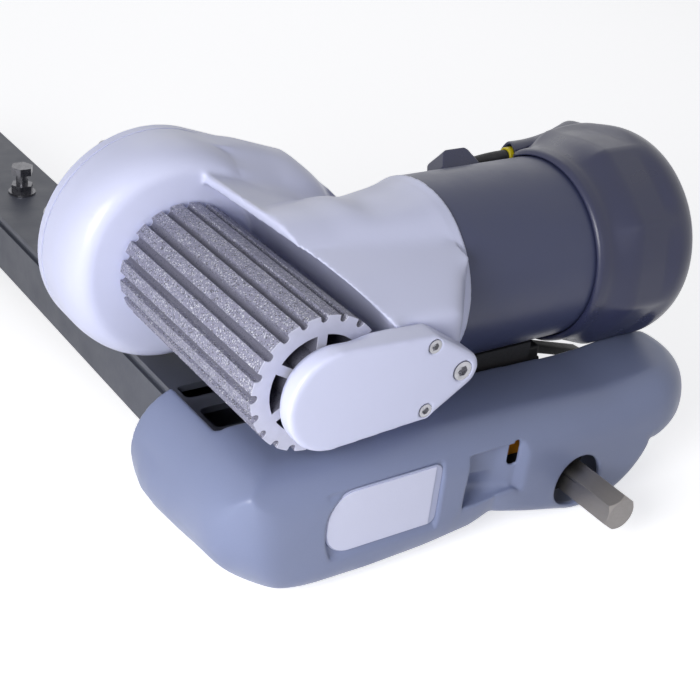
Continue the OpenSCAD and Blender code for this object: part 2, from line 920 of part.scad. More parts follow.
module carriage() {
  color([0.13, 0.13, 0.15])
    difference() {
      union() {
        translate([carriage_x, carriage_y0, carriage_z0])
          cube([carriage_len, carriage_y1 - carriage_y0, carriage_z1 - carriage_z0]);
        translate([carriage_x, carriage_y1 - 1, saddle_z0])
          cube([saddle_x1 - carriage_x, saddle_y1 - carriage_y1 + 1, carriage_z1 - saddle_z0]);
        translate([carriage_x - 4, cover_back + 3, saddle_z0])
          cube([saddle_x1 - carriage_x + 4, saddle_y1 - cover_back - 3, tube_r]);
      }
      barrel();
      wheel_boss();
      x_rod(tube_r, barrel_x - 1, big, motor_y);
      translate([carriage_x - 10, cover_back - 20, saddle_rise - tube_r])
        cube(big);
      for (y = [rod_y1, rod_y2]) {
        x_rod(rod_d / 2 + 0.5, carriage_x - 1, carriage_x1 + 1, y, rod_z);
        x_rod(rod_d / 2 + bush_t, carriage_x - 1, carriage_x + bush_len, y, rod_z);
        x_rod(rod_d / 2 + bush_t, carriage_x1 - bush_len, carriage_x1 + 1, y, rod_z);
      }
      translate([rack_x0, rod_y - rack_w / 2, carriage_z0 - 1])
        cube([carriage_len, rack_w, rack_top - carriage_z0 + 1]);
      for (x = rack_screw_x)
        z_rod(2, rack_top - 1, carriage_z1 + 1, x, rod_y);
      for (x = saddle_bolt_x, y = saddle_bolt_y)
        z_rod(3, -big, 0, x, y);
      y_rod(1.25, carriage_y0 - 1, carriage_y0 + 3, flag_x0 + 6, flag_screw_z);
      case_form(motor_y - 1, lid_y0);
    }
}

module slide_bushes() {
  color([0.66, 0.5, 0.28])
    for (y = [rod_y1, rod_y2], x = [carriage_x, carriage_x1 - bush_len])
      difference() {
        x_rod(rod_d / 2 + bush_t, x, x + bush_len, y, rod_z);
        x_rod(rod_d / 2 + run_clear, x - 1, x + bush_len + 1, y, rod_z);
      }
}

rack_screw_x = [carriage_x + 20, carriage_x1 - 20];
rack_pitch = tooth_m * PI;
rack_first = ceil((rack_x0 + 45 - hex_x) / rack_pitch);
rack_last = ceil((rack_x1 - hex_x) / rack_pitch);

// Rack tooth gaps: straight flanks at the pressure angle, with a gap over the pinion's upright tooth
module rack_gap() {
  half = tooth_m * PI / 4 + backlash / 4;
  top = half - tooth_ded * tooth_m * tan(press_angle);
  low = half + (tooth_add * tooth_m + 0.1) * tan(press_angle);
  polygon([
    [-low, -tooth_add * tooth_m - 0.1],
    [-top, tooth_ded * tooth_m],
    [top, tooth_ded * tooth_m],
    [low, -tooth_add * tooth_m - 0.1]
  ]);
}

module gear_rack() {
  color([0.42, 0.42, 0.44])
    difference() {
      along_y(rod_y - rack_w / 2, rod_y + rack_w / 2)
        difference() {
          translate([rack_x0, rack_z - tooth_add * tooth_m])
            square([rack_x1 - rack_x0, rack_top - rack_z + tooth_add * tooth_m]);
          for (i = [rack_first:rack_last])
            translate([hex_x + i * rack_pitch, rack_z])
              rack_gap();
        }
      for (x = rack_screw_x)
        z_rod(2, rack_top - 7, rack_top + 1, x, rod_y);
    }
}

module rack_screws() {
  color([0.5, 0.5, 0.52])
    for (x = rack_screw_x)
      translate([x, rod_y, carriage_z1])
        rotate([180, 0, 0])
          socket_screw(4, 7, 1.2, carriage_z1 - rack_top + 6.5);
}

module saddle_bolts() {
  color([0.5, 0.5, 0.52])
    for (x = saddle_bolt_x, y = saddle_bolt_y)
      translate([x, y, saddle_z0])
        socket_screw(6, 10, 1.9, saddle_bolt_len);
}

// Bent tab: a plate behind the cowl's slot, a bridge over the frame's wall and a flange on the carriage
flag_x0 = carriage_x1 - 12;
flag_screw_z = carriage_z1 - 2.5;

module indicator_flag() {
  bridge = frame_z1 + 1;
  color([0.85, 0.5, 0.06])
    difference() {
      union() {
        along_x(flag_x0, carriage_x1)
          polygon([
            [flag_y, flag_low],
            [flag_y, bridge + flag_t],
            [carriage_y0 - flag_t, bridge + flag_t],
            [carriage_y0 - flag_t, carriage_z1],
            [carriage_y0, carriage_z1],
            [carriage_y0, bridge],
            [flag_y + flag_t, bridge],
            [flag_y + flag_t, flag_low]
          ]);
        translate([carriage_x1 - 1, flag_y, flag_low])
          cube([23, flag_t, bridge + flag_t - flag_low]);
      }
      y_rod(1.25, carriage_y0 - 5, carriage_y0 + 1, flag_x0 + 6, flag_screw_z);
    }
}

module flag_screw() {
  color([0.5, 0.5, 0.52])
    translate([flag_x0 + 6, carriage_y0 - flag_t, flag_screw_z])
      rotate([-90, 0, 0])
        socket_screw(2.5, 4.4, 1.6, flag_t + 2.9);
}

// Drive unit: casting and arm

lobe = [lobe_x, lobe_z];
tail = [tail_x, tail_z];
lay = [lay_x, lay_z];

// The gear case's outline as a slab, with its upper sides inset
module case_form(y0, y1, inset = 0) {
  union() {
    y_rod(case_r - inset, y0, y1);
    y_rod(lobe_r - inset, y0, y1, lobe_x, lobe_z);
    y_rod(tail_r - inset, y0, y1, tail_x, tail_z);
    y_rod(lay_case_r, y0, y1, lay_x, lay_z);
    along_y(y0, y1)
      strap([0, 0], case_r - inset, lobe, lobe_r - inset);
    along_y(y0, y1)
      strap(lobe, lobe_r - inset, tail, tail_r - inset);
    along_y(y0, y1)
      strap([0, 0], case_r - inset, lay, lay_case_r);
    along_y(y0, y1)
      strap(lay, lay_case_r, tail, tail_r - inset);
  }
}

// The shoulder from the outline forward, round one of the outline's discs
module rim_disc(a, r) {
  translate([a[0], 0, a[1]])
    rotate([-90, 0, 0])
      rotate_extrude()
        polygon(concat(
          [[0, case_front]],
          [for (q = rim) [r + q[0], q[1]]],
          [[r - rim_low, rim_y1 + 2], [0, rim_y1 + 2]]
        ));
}

// A flat slope along the straight side between two discs, a little under the round shoulders
module rim_side(a, ra, b, rb) {
  t = tangents(a, ra, b, rb);
  d = t[1] - t[0];
  translate([t[0][0], 0, t[0][1]])
    rotate([0, -atan2(d[1], d[0]), 0])
      along_x(0, norm(d))
        polygon([
          [case_front, -shoulder_in - 1],
          [case_front + 6, -shoulder_in * 0.55],
          [rim_y1 + 3, -0.8],
          [rim_y1 + 3, -shoulder_in - 5],
          [case_front, -shoulder_in - 5]
        ]);
}

// Everything on the tyre's side of the trough's upper edge
module edge_side() {
  translate([0, 0, -big])
    linear_extrude(2 * big)
      polygon([
        [-big, -200],
        [edge_x + 200 * edge_lean, -200],
        [edge_x - 200 * edge_lean, 200],
        [-big, 200]
      ]);
}

module case_web() {
  difference() {
    case_form(motor_y, case_front + 1, shoulder_in);
    edge_side();
    x_rod(tube_r + 0.3, barrel_x, big, motor_y);
  }
}

module case_shoulder() {
  rim_disc([0, 0], case_r);
  rim_disc(lobe, lobe_r);
  rim_disc(tail, tail_r);
  rim_side([0, 0], case_r, lobe, lobe_r);
  rim_side(lobe, lobe_r, tail, tail_r);
  case_form(rim_y1 - 0.6, lid_y0);
}

// The casting's barrel, which widens towards the motor
module barrel() {
  translate([0, motor_y, 0])
    rotate([0, 90, 0])
      rotate_extrude()
        polygon([
          [0, edge_x - 15],
          [barrel_r - barrel_neck, edge_x - 15],
          [barrel_r - barrel_neck, barrel_x - 66],
          [barrel_r - 0.2, barrel_x - 7],
          [barrel_r, barrel_x],
          [0, barrel_x]
        ]);
}

// Swelling under the barrel round the worm wheel
module wheel_boss() {
  y_rod(wheel_room + 3, lay_y0 - 4, motor_y + 1, lay_x, lay_z);
}

// Neck from the barrel out to the support arm
module arm_neck() {
  intersection() {
    translate([0, 0, -100])
      linear_extrude(200)
        polygon([
          [arm_r + 4, arm_in],
          [ear_x + ear_r - 1, arm_in],
          [ear_x + ear_r + 12, arm_in + 16],
          [barrel_x - 6, arm_in + 32],
          [barrel_x - 6, motor_y],
          [edge_x + 4, motor_y],
          [edge_x + 4, arm_in + 32]
        ]);
    along_x(0, 200)
      polygon([
        [arm_in, -22],
        [arm_in, 23],
        [arm_in + 32, 33],
        [motor_y, 44],
        [motor_y, -44],
        [arm_in + 32, -31]
      ]);
  }
}

module gearbox_case() {
  color([0.86, 0.87, 0.94])
    difference() {
      union() {
        case_shoulder();
        case_web();
        barrel();
        wheel_boss();
        x_rod(tube_in, barrel_x - 1, barrel_x + spigot_len, motor_y);
        arm_neck();
      }
      y_rod(trough_r, -200, case_front);
      difference() {
        edge_side();
        y_rod(big, case_front, big);
      }
      y_rod(chamber_r, brg_y1, lid_y0 + 1);
      y_rod(bearing_seat_d / 2, case_front - 1, brg_y1 + 1);
      y_rod(pinion_room, brg_y1, lid_y0 + 1, lay_x, lay_z);
      y_rod(lay_d / 2 + 3, lay_y0, lid_y0, lay_x, lay_z);
      y_rod(lay_brg_d / 2, brg_y1 - lay_brg_w, brg_y1 + 1, lay_x, lay_z);
      y_rod(lay_brg_d / 2, lay_y0, lay_y0 + lay_brg_w, lay_x, lay_z);
      y_rod(wheel_room, lay_y0 + lay_brg_w, motor_y + wheel_w / 2 + 2, lay_x, lay_z);
      x_rod(worm_r + tooth_add * worm_m + 1.5, worm_x0 - 2, worm_brg_x + worm_brg_w, motor_y);
      x_rod(worm_brg_d / 2, worm_brg_x, barrel_x + spigot_len + 1, motor_y);
      x_rod(30, barrel_x - 4, barrel_x + spigot_len + 1, motor_y);
      for (z = [-arm_screw_z, arm_screw_z])
        y_rod(2, arm_in - 1, arm_in + 12, arm_screw_x, z);
      y_rod(3, arm_in - 1, arm_in + 16, ear_x, 0);
      for (x = saddle_bolt_x, y = saddle_bolt_y)
        z_rod(3, -big, saddle_z0 + saddle_bolt_len, x, y);
      for (p = lid_screws)
        y_rod(2, lid_y0 - 12, lid_y0 + 1, p[0], p[1]);
    }
}

bearing_seat_d = 42;
lid_ring = chamber_r + case_wall / 2;
lid_screws = concat(
  [for (a = [70, 115, 160, 205, 250]) lid_ring * [cos(a), sin(a)]],
  [[tail_x, tail_z]]
);

module rear_cover() {
  color([0.84, 0.85, 0.92])
    difference() {
      case_form(lid_y0, lid_y1);
      y_rod(bearing_seat_d / 2, lid_y0 - 1, lid_y0 + 2);
      y_rod(lay_d / 2 + 2, lid_y0 - 1, lid_y0 + 2, lay_x, lay_z);
      for (p = lid_screws)
        y_rod(2, lid_y0 - 1, lid_y1 + 1, p[0], p[1]);
    }
}

module rear_cover_screws() {
  color([0.4, 0.4, 0.42])
    for (p = lid_screws)
      translate([p[0], lid_y1, p[1]])
        rotate([90, 0, 0])
          socket_screw(4, 7, 2.4, lid_t + 11);
}

module arm_form() {
  knee_x = arm_screw_x - 1.5;
  knee_z = arm_screw_z - 5.3;
  knee_r = 11;
  union() {
    y_rod(arm_r, arm_out, arm_in);
    y_rod(ear_r, arm_out, arm_in, ear_x, 0);
    for (z = [-knee_z, knee_z]) {
      y_rod(knee_r, arm_out, arm_in, knee_x, z);
      along_y(arm_out, arm_in)
        strap([0, 0], arm_r, [knee_x, z], knee_r);
      along_y(arm_out, arm_in)
        strap([knee_x, z], knee_r, [ear_x, 0], ear_r);
    }
  }
}

arm_brg_d = 40;
arm_shaft_d = 17;

module support_arm() {
  color([0.9, 0.91, 0.96])
    difference() {
      arm_form();
      y_rod(arm_brg_d / 2, arm_in - bearing_w, arm_in + 1);
      for (z = [-arm_screw_z, arm_screw_z]) {
        y_rod(2, arm_out - 1, arm_in + 1, arm_screw_x, z);
        y_rod(3.7, arm_out - 1, arm_out + 4, arm_screw_x, z);
      }
      y_rod(3, arm_out - 1, arm_in + 1, ear_x, 0);
      y_rod(5.3, arm_out - 1, arm_out + 6, ear_x, 0);
    }
}

module arm_screws() {
  color([0.45, 0.45, 0.47])
    for (z = [-arm_screw_z, arm_screw_z])
      translate([arm_screw_x, arm_out + 4, z])
        rotate([-90, 0, 0])
          socket_screw(4, 7, 4, arm_t - 4 + 11);
}

module ear_screw() {
  color([0.4, 0.4, 0.42])
    translate([ear_x, arm_out + 6, 0])
      rotate([-90, 0, 0])
        socket_screw(6, 10, 6, arm_t - 6 + 15);
}

module roller_bearings() {
  color([0.6, 0.6, 0.62]) {
    translate([0, arm_in - bearing_w, 0])
      rotate([-90, 0, 0])
        bearing(arm_shaft_d + 2 * run_clear, arm_brg_d, bearing_w);
    translate([0, brg_y0, 0])
      rotate([-90, 0, 0])
        bearing(shaft_d + 2 * run_clear, bearing_seat_d, bearing_w);
  }
}

module roller_seal() {
  color([0.12, 0.12, 0.12])
    translate([0, case_front, 0])
      rotate([-90, 0, 0])
        bearing(shaft_d + 2 * run_clear, bearing_seat_d, seal_w);
}

module layshaft_bearings() {
  color([0.6, 0.6, 0.62])
    for (y = [lay_y0, brg_y1 - lay_brg_w])
      translate([lay_x, y, lay_z])
        rotate([-90, 0, 0])
          bearing(lay_d + 2 * run_clear, lay_brg_d, lay_brg_w);
}

module worm_bearings() {
  color([0.6, 0.6, 0.62])
    for (x = [worm_brg_x, rear_brg_x])
      translate([x, motor_y, 0])
        rotate([0, 90, 0])
          bearing(motor_shaft_d + 2 * run_clear, worm_brg_d, worm_brg_w);
}

// Drive unit: motor

module motor_tube() {
  color([0.28, 0.29, 0.35])
    difference() {
      x_rod(tube_r, barrel_x, tube_x1, motor_y);
      x_rod(tube_in, barrel_x - 1, tube_x1 + 1, motor_y);
      on_motor(cable_lean)
        z_rod(1.5, tube_in - 1, tube_r + 1, clip_screw_x, 0);
    }
}

module motor_magnets() {
  color([0.2, 0.2, 0.2])
    for (a = [0:90:270])
      translate([core_x0, motor_y, 0])
        rotate([a, 0, 0])
          rotate([0, 90, 0])
            rotate([0, 0, -33])
              rotate_extrude(angle = 66)
                translate([tube_in - magnet_t, 0])
                  square([magnet_t - eps, core_len]);
}

module end_bell() {
  color([0.62, 0.63, 0.66])
    difference() {
      union() {
        x_rod(tube_r, tube_x1, bell_x1, motor_y);
        x_rod(worm_brg_d / 2 + 5, rear_brg_x - 1, tube_x1 + 1, motor_y);
        difference() {
          x_rod(tube_in, tube_x1 - 4, tube_x1 + 1, motor_y);
          x_rod(tube_in - 3, tube_x1 - 5, tube_x1 + 2, motor_y);
        }
      }
      x_rod(worm_brg_d / 2, rear_brg_x - 2, rear_brg_x + worm_brg_w, motor_y);
      for (a = bell_screw_a)
        translate([0, motor_y, 0])
          rotate([a, 0, 0])
            x_rod(2.5, tube_x1 - 10, bell_x1 + 1, 0, bell_screw_r);
      for (a = [-1, 1])
        translate([tube_x1 - 1, motor_y + a * (comm_d / 2 + 8) - 4, -7])
          cube([bell_t + 2, 8, 14]);
    }
}

bell_screw_a = [45, 225];
bell_screw_r = tube_in - 7;

module end_bell_screws() {
  color([0.45, 0.45, 0.47])
    for (a = bell_screw_a)
      translate([bell_x1, motor_y, 0])
        rotate([a, 0, 0])
          translate([0, 0, bell_screw_r])
            rotate([0, -90, 0])
              socket_screw(5, 8.5, 5, 15);
}

module brush_holders() {
  color([0.5, 0.36, 0.2])
    for (s = [-1, 1])
      difference() {
        translate([comm_x0, motor_y + s * (comm_d / 2 + 9) - 8, -6])
          cube([tube_x1 - comm_x0, 16, 12]);
        translate([comm_x0 + 2, motor_y + s * (comm_d / 2 + 9) - 12, -4])
          cube([8, 24, 8]);
        x_rod(worm_brg_d / 2 + 5, rear_brg_x - 3, tube_x1 + 1, motor_y);
      }
}

module brushes() {
  color([0.15, 0.15, 0.16])
    for (s = [-1, 1])
      difference() {
        translate([comm_x0 + 2, motor_y + s * (comm_d / 2 + 7) - 8, -4])
          cube([8, 16, 8]);
        x_rod(comm_d / 2 + run_clear, comm_x0 - 1, comm_x1 + 1, motor_y);
      }
}

module cap_profile(inset) {
  lip_r = tube_r + cap_wall - inset;
  r = cap_r - inset;
  polygon([
    [0, cap_x0],
    [lip_r, cap_x0],
    [lip_r + 1, cap_x0 + 5],
    [r - 0.8, cap_x0 + 23],
    [r, cap_x0 + 30],
    [r, cap_x1 - 14],
    [r - 2, cap_x1 - 6],
    [r - 6, cap_x1 - 1.5 - inset / 2],
    [r - 9, cap_x1 - inset],
    [0, cap_x1 - inset]
  ]);
}

module motor_cap() {
  flute_r = 26;
  color([0.24, 0.25, 0.3])
    difference() {
      union() {
        difference() {
          translate([0, motor_y, 0])
            rotate([0, 90, 0])
              rotate_extrude()
                cap_profile(0);
          for (i = [0:flute_count - 1])
            on_motor(cable_lean + (i + 0.5) * 360 / flute_count)
              x_rod(flute_r, cap_x0 - 1, cap_x1 - 8, 0, cap_r + flute_r - flute_depth);
        }
        on_motor(cable_lean)
          cable_boss();
      }
      translate([0, motor_y, 0])
        rotate([0, 90, 0])
          rotate_extrude()
            cap_cavity();
      on_motor(cable_lean) {
        x_rod(cable_d / 2, cap_x0 - 10, cap_x0 + 40, 0, cable_r);
        x_rod(ring_r, cap_x0 - 10, cap_x0 + ring_len - 1, 0, cable_r);
      }
    }
}

ring_len = 5;
ring_r = cable_d / 2 + 1.5;

module cap_cavity() {
  r = cap_r - cap_wall - flute_depth;
  polygon([
    [0, cap_x0 - 1],
    [tube_r, cap_x0 - 1],
    [tube_r, bell_x1],
    [tube_r - 2, bell_x1 + 1],
    [r - 4, cap_x0 + 26],
    [r, cap_x0 + 32],
    [r, cap_x1 - 16],
    [r - 6, cap_x1 - cap_wall - 2],
    [r - 9, cap_x1 - cap_wall],
    [0, cap_x1 - cap_wall]
  ]);
}

// Swelling on the cap where the cable goes in
module cable_boss() {
  boss = ring_r + 0.8;
  translate([cap_x0 - 1, 0, cable_r])
    rotate([0, 90, 0])
      rotate_extrude()
        polygon([
          [0, 0],
          [boss - 0.2, 0],
          [boss, 4],
          [boss + 1.2, 14],
          [boss + 4.5, 30],
          [boss + 4.5, 42],
          [boss, 52],
          [0, 56]
        ]);
}

module cable_ring() {
  color([0.85, 0.78, 0.08])
    on_motor(cable_lean)
      difference() {
        x_rod(ring_r, cap_x0 - 3, cap_x0 + ring_len - 1, 0, cable_r);
        x_rod(cable_d / 2, cap_x0 - 4, cap_x0 + ring_len, 0, cable_r);
        x_rod(tube_r + 0.02, cap_x0 - 10, cap_x0 + 10);
      }
}

clip_x1 = cap_x0 - 13;
clip_x0 = clip_x1 - 42;
clip_screw_x = clip_x0 + 18;

module motor_cable() {
  color([0.16, 0.16, 0.18])
    on_motor(cable_lean)
      x_rod(cable_d / 2, clip_x1 - 18, cap_x0 + 40, 0, cable_r);
}

module cable_clip() {
  color([0.22, 0.23, 0.27])
    on_motor(cable_lean)
      difference() {
        translate([0, 9, 0])
          rotate([90, 0, 0])
            linear_extrude(18)
              polygon([
                [clip_x0, tube_r - 4],
                [clip_x0, tube_r + 1],
                [clip_x0 + 13, tube_r + 9.5],
                [clip_x0 + 16, tube_r + 10.6],
                [clip_x1 - 10, tube_r + 10.6],
                [clip_x1 - 7.5, tube_r + 9.2],
                [clip_x1, tube_r + 1],
                [clip_x1, tube_r - 4]
              ]);
        x_rod(tube_r, 0, 300);
        x_rod(cable_d / 2, clip_x1 - 18, clip_x1 + 20, 0, cable_r);
        z_rod(1.5, tube_r - 2, tube_r + 20, clip_screw_x, 0);
        z_rod(3, tube_r + 6, tube_r + 20, clip_screw_x, 0);
      }
}

module clip_screw() {
  color([0.4, 0.4, 0.42])
    on_motor(cable_lean)
      translate([clip_screw_x, 0, tube_r + 6])
        rotate([180, 0, 0])
          socket_screw(3, 5.5, 2.4, 6 + tube_wall);
}

// Roller and the shaft it turns on

module roller_section() {
  slot_in = hub_d / 2;
  slot_out = roller_r - rim_wall;
  difference() {
    circle(roller_r, $fn = 120);
    for (i = [0:rib_count - 1])
      rotate(i * 360 / rib_count)
        translate([roller_r - groove_depth, 0]) {
          polygon([
            [groove_w / 2, -groove_w / 2],
            [groove_depth + 1, -groove_w / 2 - 0.6],
            [groove_depth + 1, groove_w / 2 + 0.6],
            [groove_w / 2, groove_w / 2]
          ]);
          translate([groove_w / 2, 0])
            circle(groove_w / 2, $fn = 24);
        }
    circle(shaft_d / 2);
    difference() {
      circle(slot_out);
      circle(slot_in);
      for (i = [0:spoke_count - 1])
        rotate((i + 0.5) * 360 / spoke_count)
          translate([0, -spoke_w / 2])
            square([roller_r, spoke_w]);
    }
  }
}

module roller() {
  color([0.52, 0.52, 0.55])
    along_y(roller_y0, roller_y1)
      roller_section();
}

module roller_shaft() {
  color([0.66, 0.66, 0.68])
    union() {
      y_rod(arm_shaft_d / 2, arm_in - bearing_w + 0.5, roller_y0 + 1);
      y_rod(shaft_d / 2, roller_y0, gear_y1 + 1.5);
    }
}

module final_gear() {
  color([0.45, 0.45, 0.47])
    difference() {
      along_y(gear_y0, gear_y1)
        rotate(lay_turn)
          polygon(gear_outline(tooth_m, gear_teeth));
      y_rod(shaft_d / 2, gear_y0 - 1, gear_y1 + 1);
      for (i = [0:5])
        rotate([0, i * 60, 0])
          y_rod(7, gear_y0 - 1, gear_y1 + 1, gear_r * 0.58, 0);
    }
}

// Layshaft with its pinion, and the worm wheel on it

module layshaft() {
  color([0.5, 0.5, 0.52])
    union() {
      y_rod(lay_d / 2, lay_y0 + 0.5, lay_y1 + 2, lay_x, lay_z);
      along_y(gear_y0 - 1, gear_y1 + 1)
        translate([lay_x, lay_z])
          rotate(lay_turn + 180 + 180 / pinion_teeth)
            polygon(gear_outline(tooth_m, pinion_teeth));
    }
}

worm_lead = worm_starts * worm_m * PI;
wheel_twist = wheel_w * (worm_lead / (2 * PI * worm_r)) / wheel_r * 180 / PI;

module worm_wheel() {
  color([0.68, 0.52, 0.26])
    difference() {
      translate([lay_x, motor_y + wheel_w / 2, lay_z])
        rotate([90, 0, 0])
          rotate([0, 0, 90 - wheel_twist / 2])
            linear_extrude(wheel_w, twist = -wheel_twist, slices = 4)
              polygon(gear_outline(worm_m, wheel_teeth));
      y_rod(lay_d / 2, motor_y - wheel_w, motor_y + wheel_w, lay_x, lay_z);
    }
}

// Armature, with the worm cut on its shaft

module worm_shaft() {
  turn = 90 - (lay_x - worm_x0) / worm_lead * 360;
  color([0.6, 0.6, 0.62])
    union() {
      translate([worm_x0, motor_y, 0])
        rotate([0, 90, 0])
          rotate([0, 0, turn])
            linear_extrude(worm_len, twist = -worm_len / worm_lead * 360, slices = 60)
              polygon(worm_outline(32));
      x_rod(motor_shaft_d / 2, worm_x1 - 1, rear_brg_x + worm_brg_w - 0.5, motor_y);
    }
}

module armature_core() {
  color([0.4, 0.4, 0.42])
    translate([core_x0, motor_y, 0])
      rotate([0, 90, 0])
        linear_extrude(core_len)
          difference() {
            circle(core_d / 2);
            circle(motor_shaft_d / 2);
            for (i = [0:11])
              rotate(i * 30)
                translate([core_d / 2 - 6, 0]) {
                  circle(3, $fn = 24);
                  translate([0, -1])
                    square([8, 2]);
                }
          }
}

module armature_coils() {
  color([0.7, 0.4, 0.2])
    for (x = [core_x0 - coil_w, core_x1])
      translate([x, motor_y, 0])
        rotate([0, 90, 0])
          rotate_extrude()
            translate([motor_shaft_d / 2, 0])
              square([core_d / 2 - 6 - motor_shaft_d / 2, coil_w]);
}

module commutator() {
  color([0.72, 0.42, 0.22])
    difference() {
      x_rod(comm_d / 2, comm_x0, comm_x1, motor_y);
      x_rod(motor_shaft_d / 2, comm_x0 - 1, comm_x1 + 1, motor_y);
      for (i = [0:23])
        translate([0, motor_y, 0])
          rotate([i * 15, 0, 0])
            translate([comm_x0 - 1, -0.3, comm_d / 2 - 1.2])
              cube([comm_len - 1, 0.6, 3]);
    }
}

cross_bar();
bar_bolt();
bar_nut();
bar_plug();
frame_bolts();
base_frame();
guide_rods();
rod_screws();
shaft_bushes();
base_cover();
cover_screws();
label_plate();
hex_shaft();
actuator_pinion();
shaft_circlip();
carriage();
slide_bushes();
gear_rack();
rack_screws();
saddle_bolts();
indicator_flag();
flag_screw();
gearbox_case();
rear_cover();
rear_cover_screws();
support_arm();
arm_screws();
ear_screw();
roller_bearings();
roller_seal();
layshaft_bearings();
worm_bearings();
motor_tube();
motor_magnets();
end_bell();
end_bell_screws();
brush_holders();
brushes();
motor_cap();
cable_ring();
motor_cable();
cable_clip();
clip_screw();
roller();
roller_shaft();
final_gear();
layshaft();
worm_wheel();
worm_shaft();
armature_core();
armature_coils();
commutator();
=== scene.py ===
import json
import math

import bmesh
import bpy
import numpy as np
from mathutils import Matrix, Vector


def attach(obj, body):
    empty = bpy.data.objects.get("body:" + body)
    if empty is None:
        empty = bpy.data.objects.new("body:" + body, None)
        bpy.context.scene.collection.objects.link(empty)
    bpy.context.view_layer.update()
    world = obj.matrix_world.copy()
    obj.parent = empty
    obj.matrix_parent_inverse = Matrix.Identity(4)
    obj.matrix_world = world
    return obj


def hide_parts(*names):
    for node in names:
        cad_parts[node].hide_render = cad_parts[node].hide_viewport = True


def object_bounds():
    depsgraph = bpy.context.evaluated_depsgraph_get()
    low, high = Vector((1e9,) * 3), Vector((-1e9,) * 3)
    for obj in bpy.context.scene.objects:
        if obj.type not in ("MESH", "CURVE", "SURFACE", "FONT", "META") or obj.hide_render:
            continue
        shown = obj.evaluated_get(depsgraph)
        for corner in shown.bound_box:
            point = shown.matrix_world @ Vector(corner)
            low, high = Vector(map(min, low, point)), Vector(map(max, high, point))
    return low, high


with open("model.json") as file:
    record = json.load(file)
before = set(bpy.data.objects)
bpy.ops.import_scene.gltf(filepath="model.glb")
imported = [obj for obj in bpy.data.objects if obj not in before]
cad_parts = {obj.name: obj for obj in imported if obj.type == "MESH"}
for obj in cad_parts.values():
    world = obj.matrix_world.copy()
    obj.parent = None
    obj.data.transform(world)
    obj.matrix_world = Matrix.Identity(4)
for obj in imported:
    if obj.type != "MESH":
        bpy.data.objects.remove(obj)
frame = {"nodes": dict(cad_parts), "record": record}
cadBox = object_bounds()
cadNodes = frame["nodes"]
scene = bpy.context.scene
mm = 0.001
tiny = 0.001
print("stage: frame loaded")

# Camera at the photograph's place
cameraValues = {
    "place": (-0.32195, -0.50563, 0.32031),
    "turnDegrees": (60.9346, -6.3289, -34.0065),
    "lensMm": 71.665,
    "sensorMm": 36.0,
    "nearest": 0.05,
}
cameraData = bpy.data.cameras.new("camera")
cameraData.lens = cameraValues["lensMm"]
cameraData.sensor_width = cameraValues["sensorMm"]
cameraData.clip_start = cameraValues["nearest"]
camera = bpy.data.objects.new("camera", cameraData)
camera.location = cameraValues["place"]
camera.rotation_euler = [math.radians(angle) for angle in cameraValues["turnDegrees"]]
scene.collection.objects.link(camera)
scene.camera = camera
scene.view_settings.view_transform = "Standard"
print("stage: camera placed")


# A grid of points (rows, columns, 3) becomes one mesh. Columns join round; rows may join round as well,
# or an end may close in a pole
def gridPiece(name, grid, closedAlong=False, poleStart=False, poleEnd=False):
    rows, columns = grid.shape[:2]
    index = np.arange(rows * columns).reshape(rows, columns)
    across = np.roll(index, -1, axis=1)
    if closedAlong:
        corners = [index, across, np.roll(across, -1, axis=0), np.roll(index, -1, axis=0)]
    else:
        corners = [index[:-1], across[:-1], across[1:], index[1:]]
    faces = np.stack(corners, axis=-1).reshape(-1, 4).tolist()
    points = grid.reshape(-1, 3)
    if poleStart:
        points = np.vstack([points, grid[0].mean(axis=0)])
        faces += np.stack([across[0], index[0], np.full(columns, len(points) - 1)], axis=-1).tolist()
    if poleEnd:
        points = np.vstack([points, grid[-1].mean(axis=0)])
        faces += np.stack([index[-1], across[-1], np.full(columns, len(points) - 1)], axis=-1).tolist()
    mesh = bpy.data.meshes.new(name)
    mesh.from_pydata(points.tolist(), [], faces)
    mesh.shade_smooth()
    piece = bpy.data.objects.new(name, mesh)
    scene.collection.objects.link(piece)
    return piece


# Smooth step from 0 below low to 1 above high
def rise(value, low, high):
    part = np.clip((value - low) / (high - low), 0, 1)
    return part * part * (3 - 2 * part)


# The same step turned round, from 1 to 0
def fall(value, low, high):
    return 1 - rise(value, low, high)


# 1 between the inner two of four places, 0 outside the outer two
def within(value, places):
    return rise(value, *places[:2]) * fall(value, *places[2:])


# Sine or cosine drawn out towards 1 and -1: sign(v) |v|^sharp, which squares a circle
def squared(value, sharp):
    return np.sign(value) * np.abs(value) ** sharp


# Motor cable: a circle of the cable's radius carried along a line beside the tube, swung and bowed
# near the clip
cableValues = {
    "diameter": 8.0,
    "axisHeight": 14.5,
    "leanDegrees": 46.0,
    "swingDegrees": 4.0,
    "fromAxis": 55.7,
    "start": 168.0,
    "end": 239.0,
    "bowStart": 176.0,
    "bowEnd": 206.0,
    "bow": 0.4,
    "points": 60,
    "sides": 32,
}
lean = math.radians(cableValues["leanDegrees"])
forward = np.array([1.0, 0, 0])
outward = np.array([0.0, math.sin(lean), math.cos(lean)])
motorAxis = np.array([0.0, cableValues["axisHeight"], 0.0])
along = np.linspace(cableValues["start"], cableValues["end"], cableValues["points"])
inBow = np.clip((along - cableValues["bowStart"]) / (cableValues["bowEnd"] - cableValues["bowStart"]), 0, 1)
height = cableValues["fromAxis"] + cableValues["bow"] * np.sin(np.pi * inBow) ** 2
swing = lean + math.radians(cableValues["swingDegrees"]) * fall(inBow, 0, 1)
cablePath = np.stack(
    [along, cableValues["axisHeight"] + height * np.sin(swing), height * np.cos(swing)], axis=1
) * mm
turn = np.linspace(0, 2 * np.pi, cableValues["sides"], endpoint=False)
sideways = np.cross(forward, outward)
cableRound = (np.cos(turn)[:, None] * outward + np.sin(turn)[:, None] * sideways)[::-1]
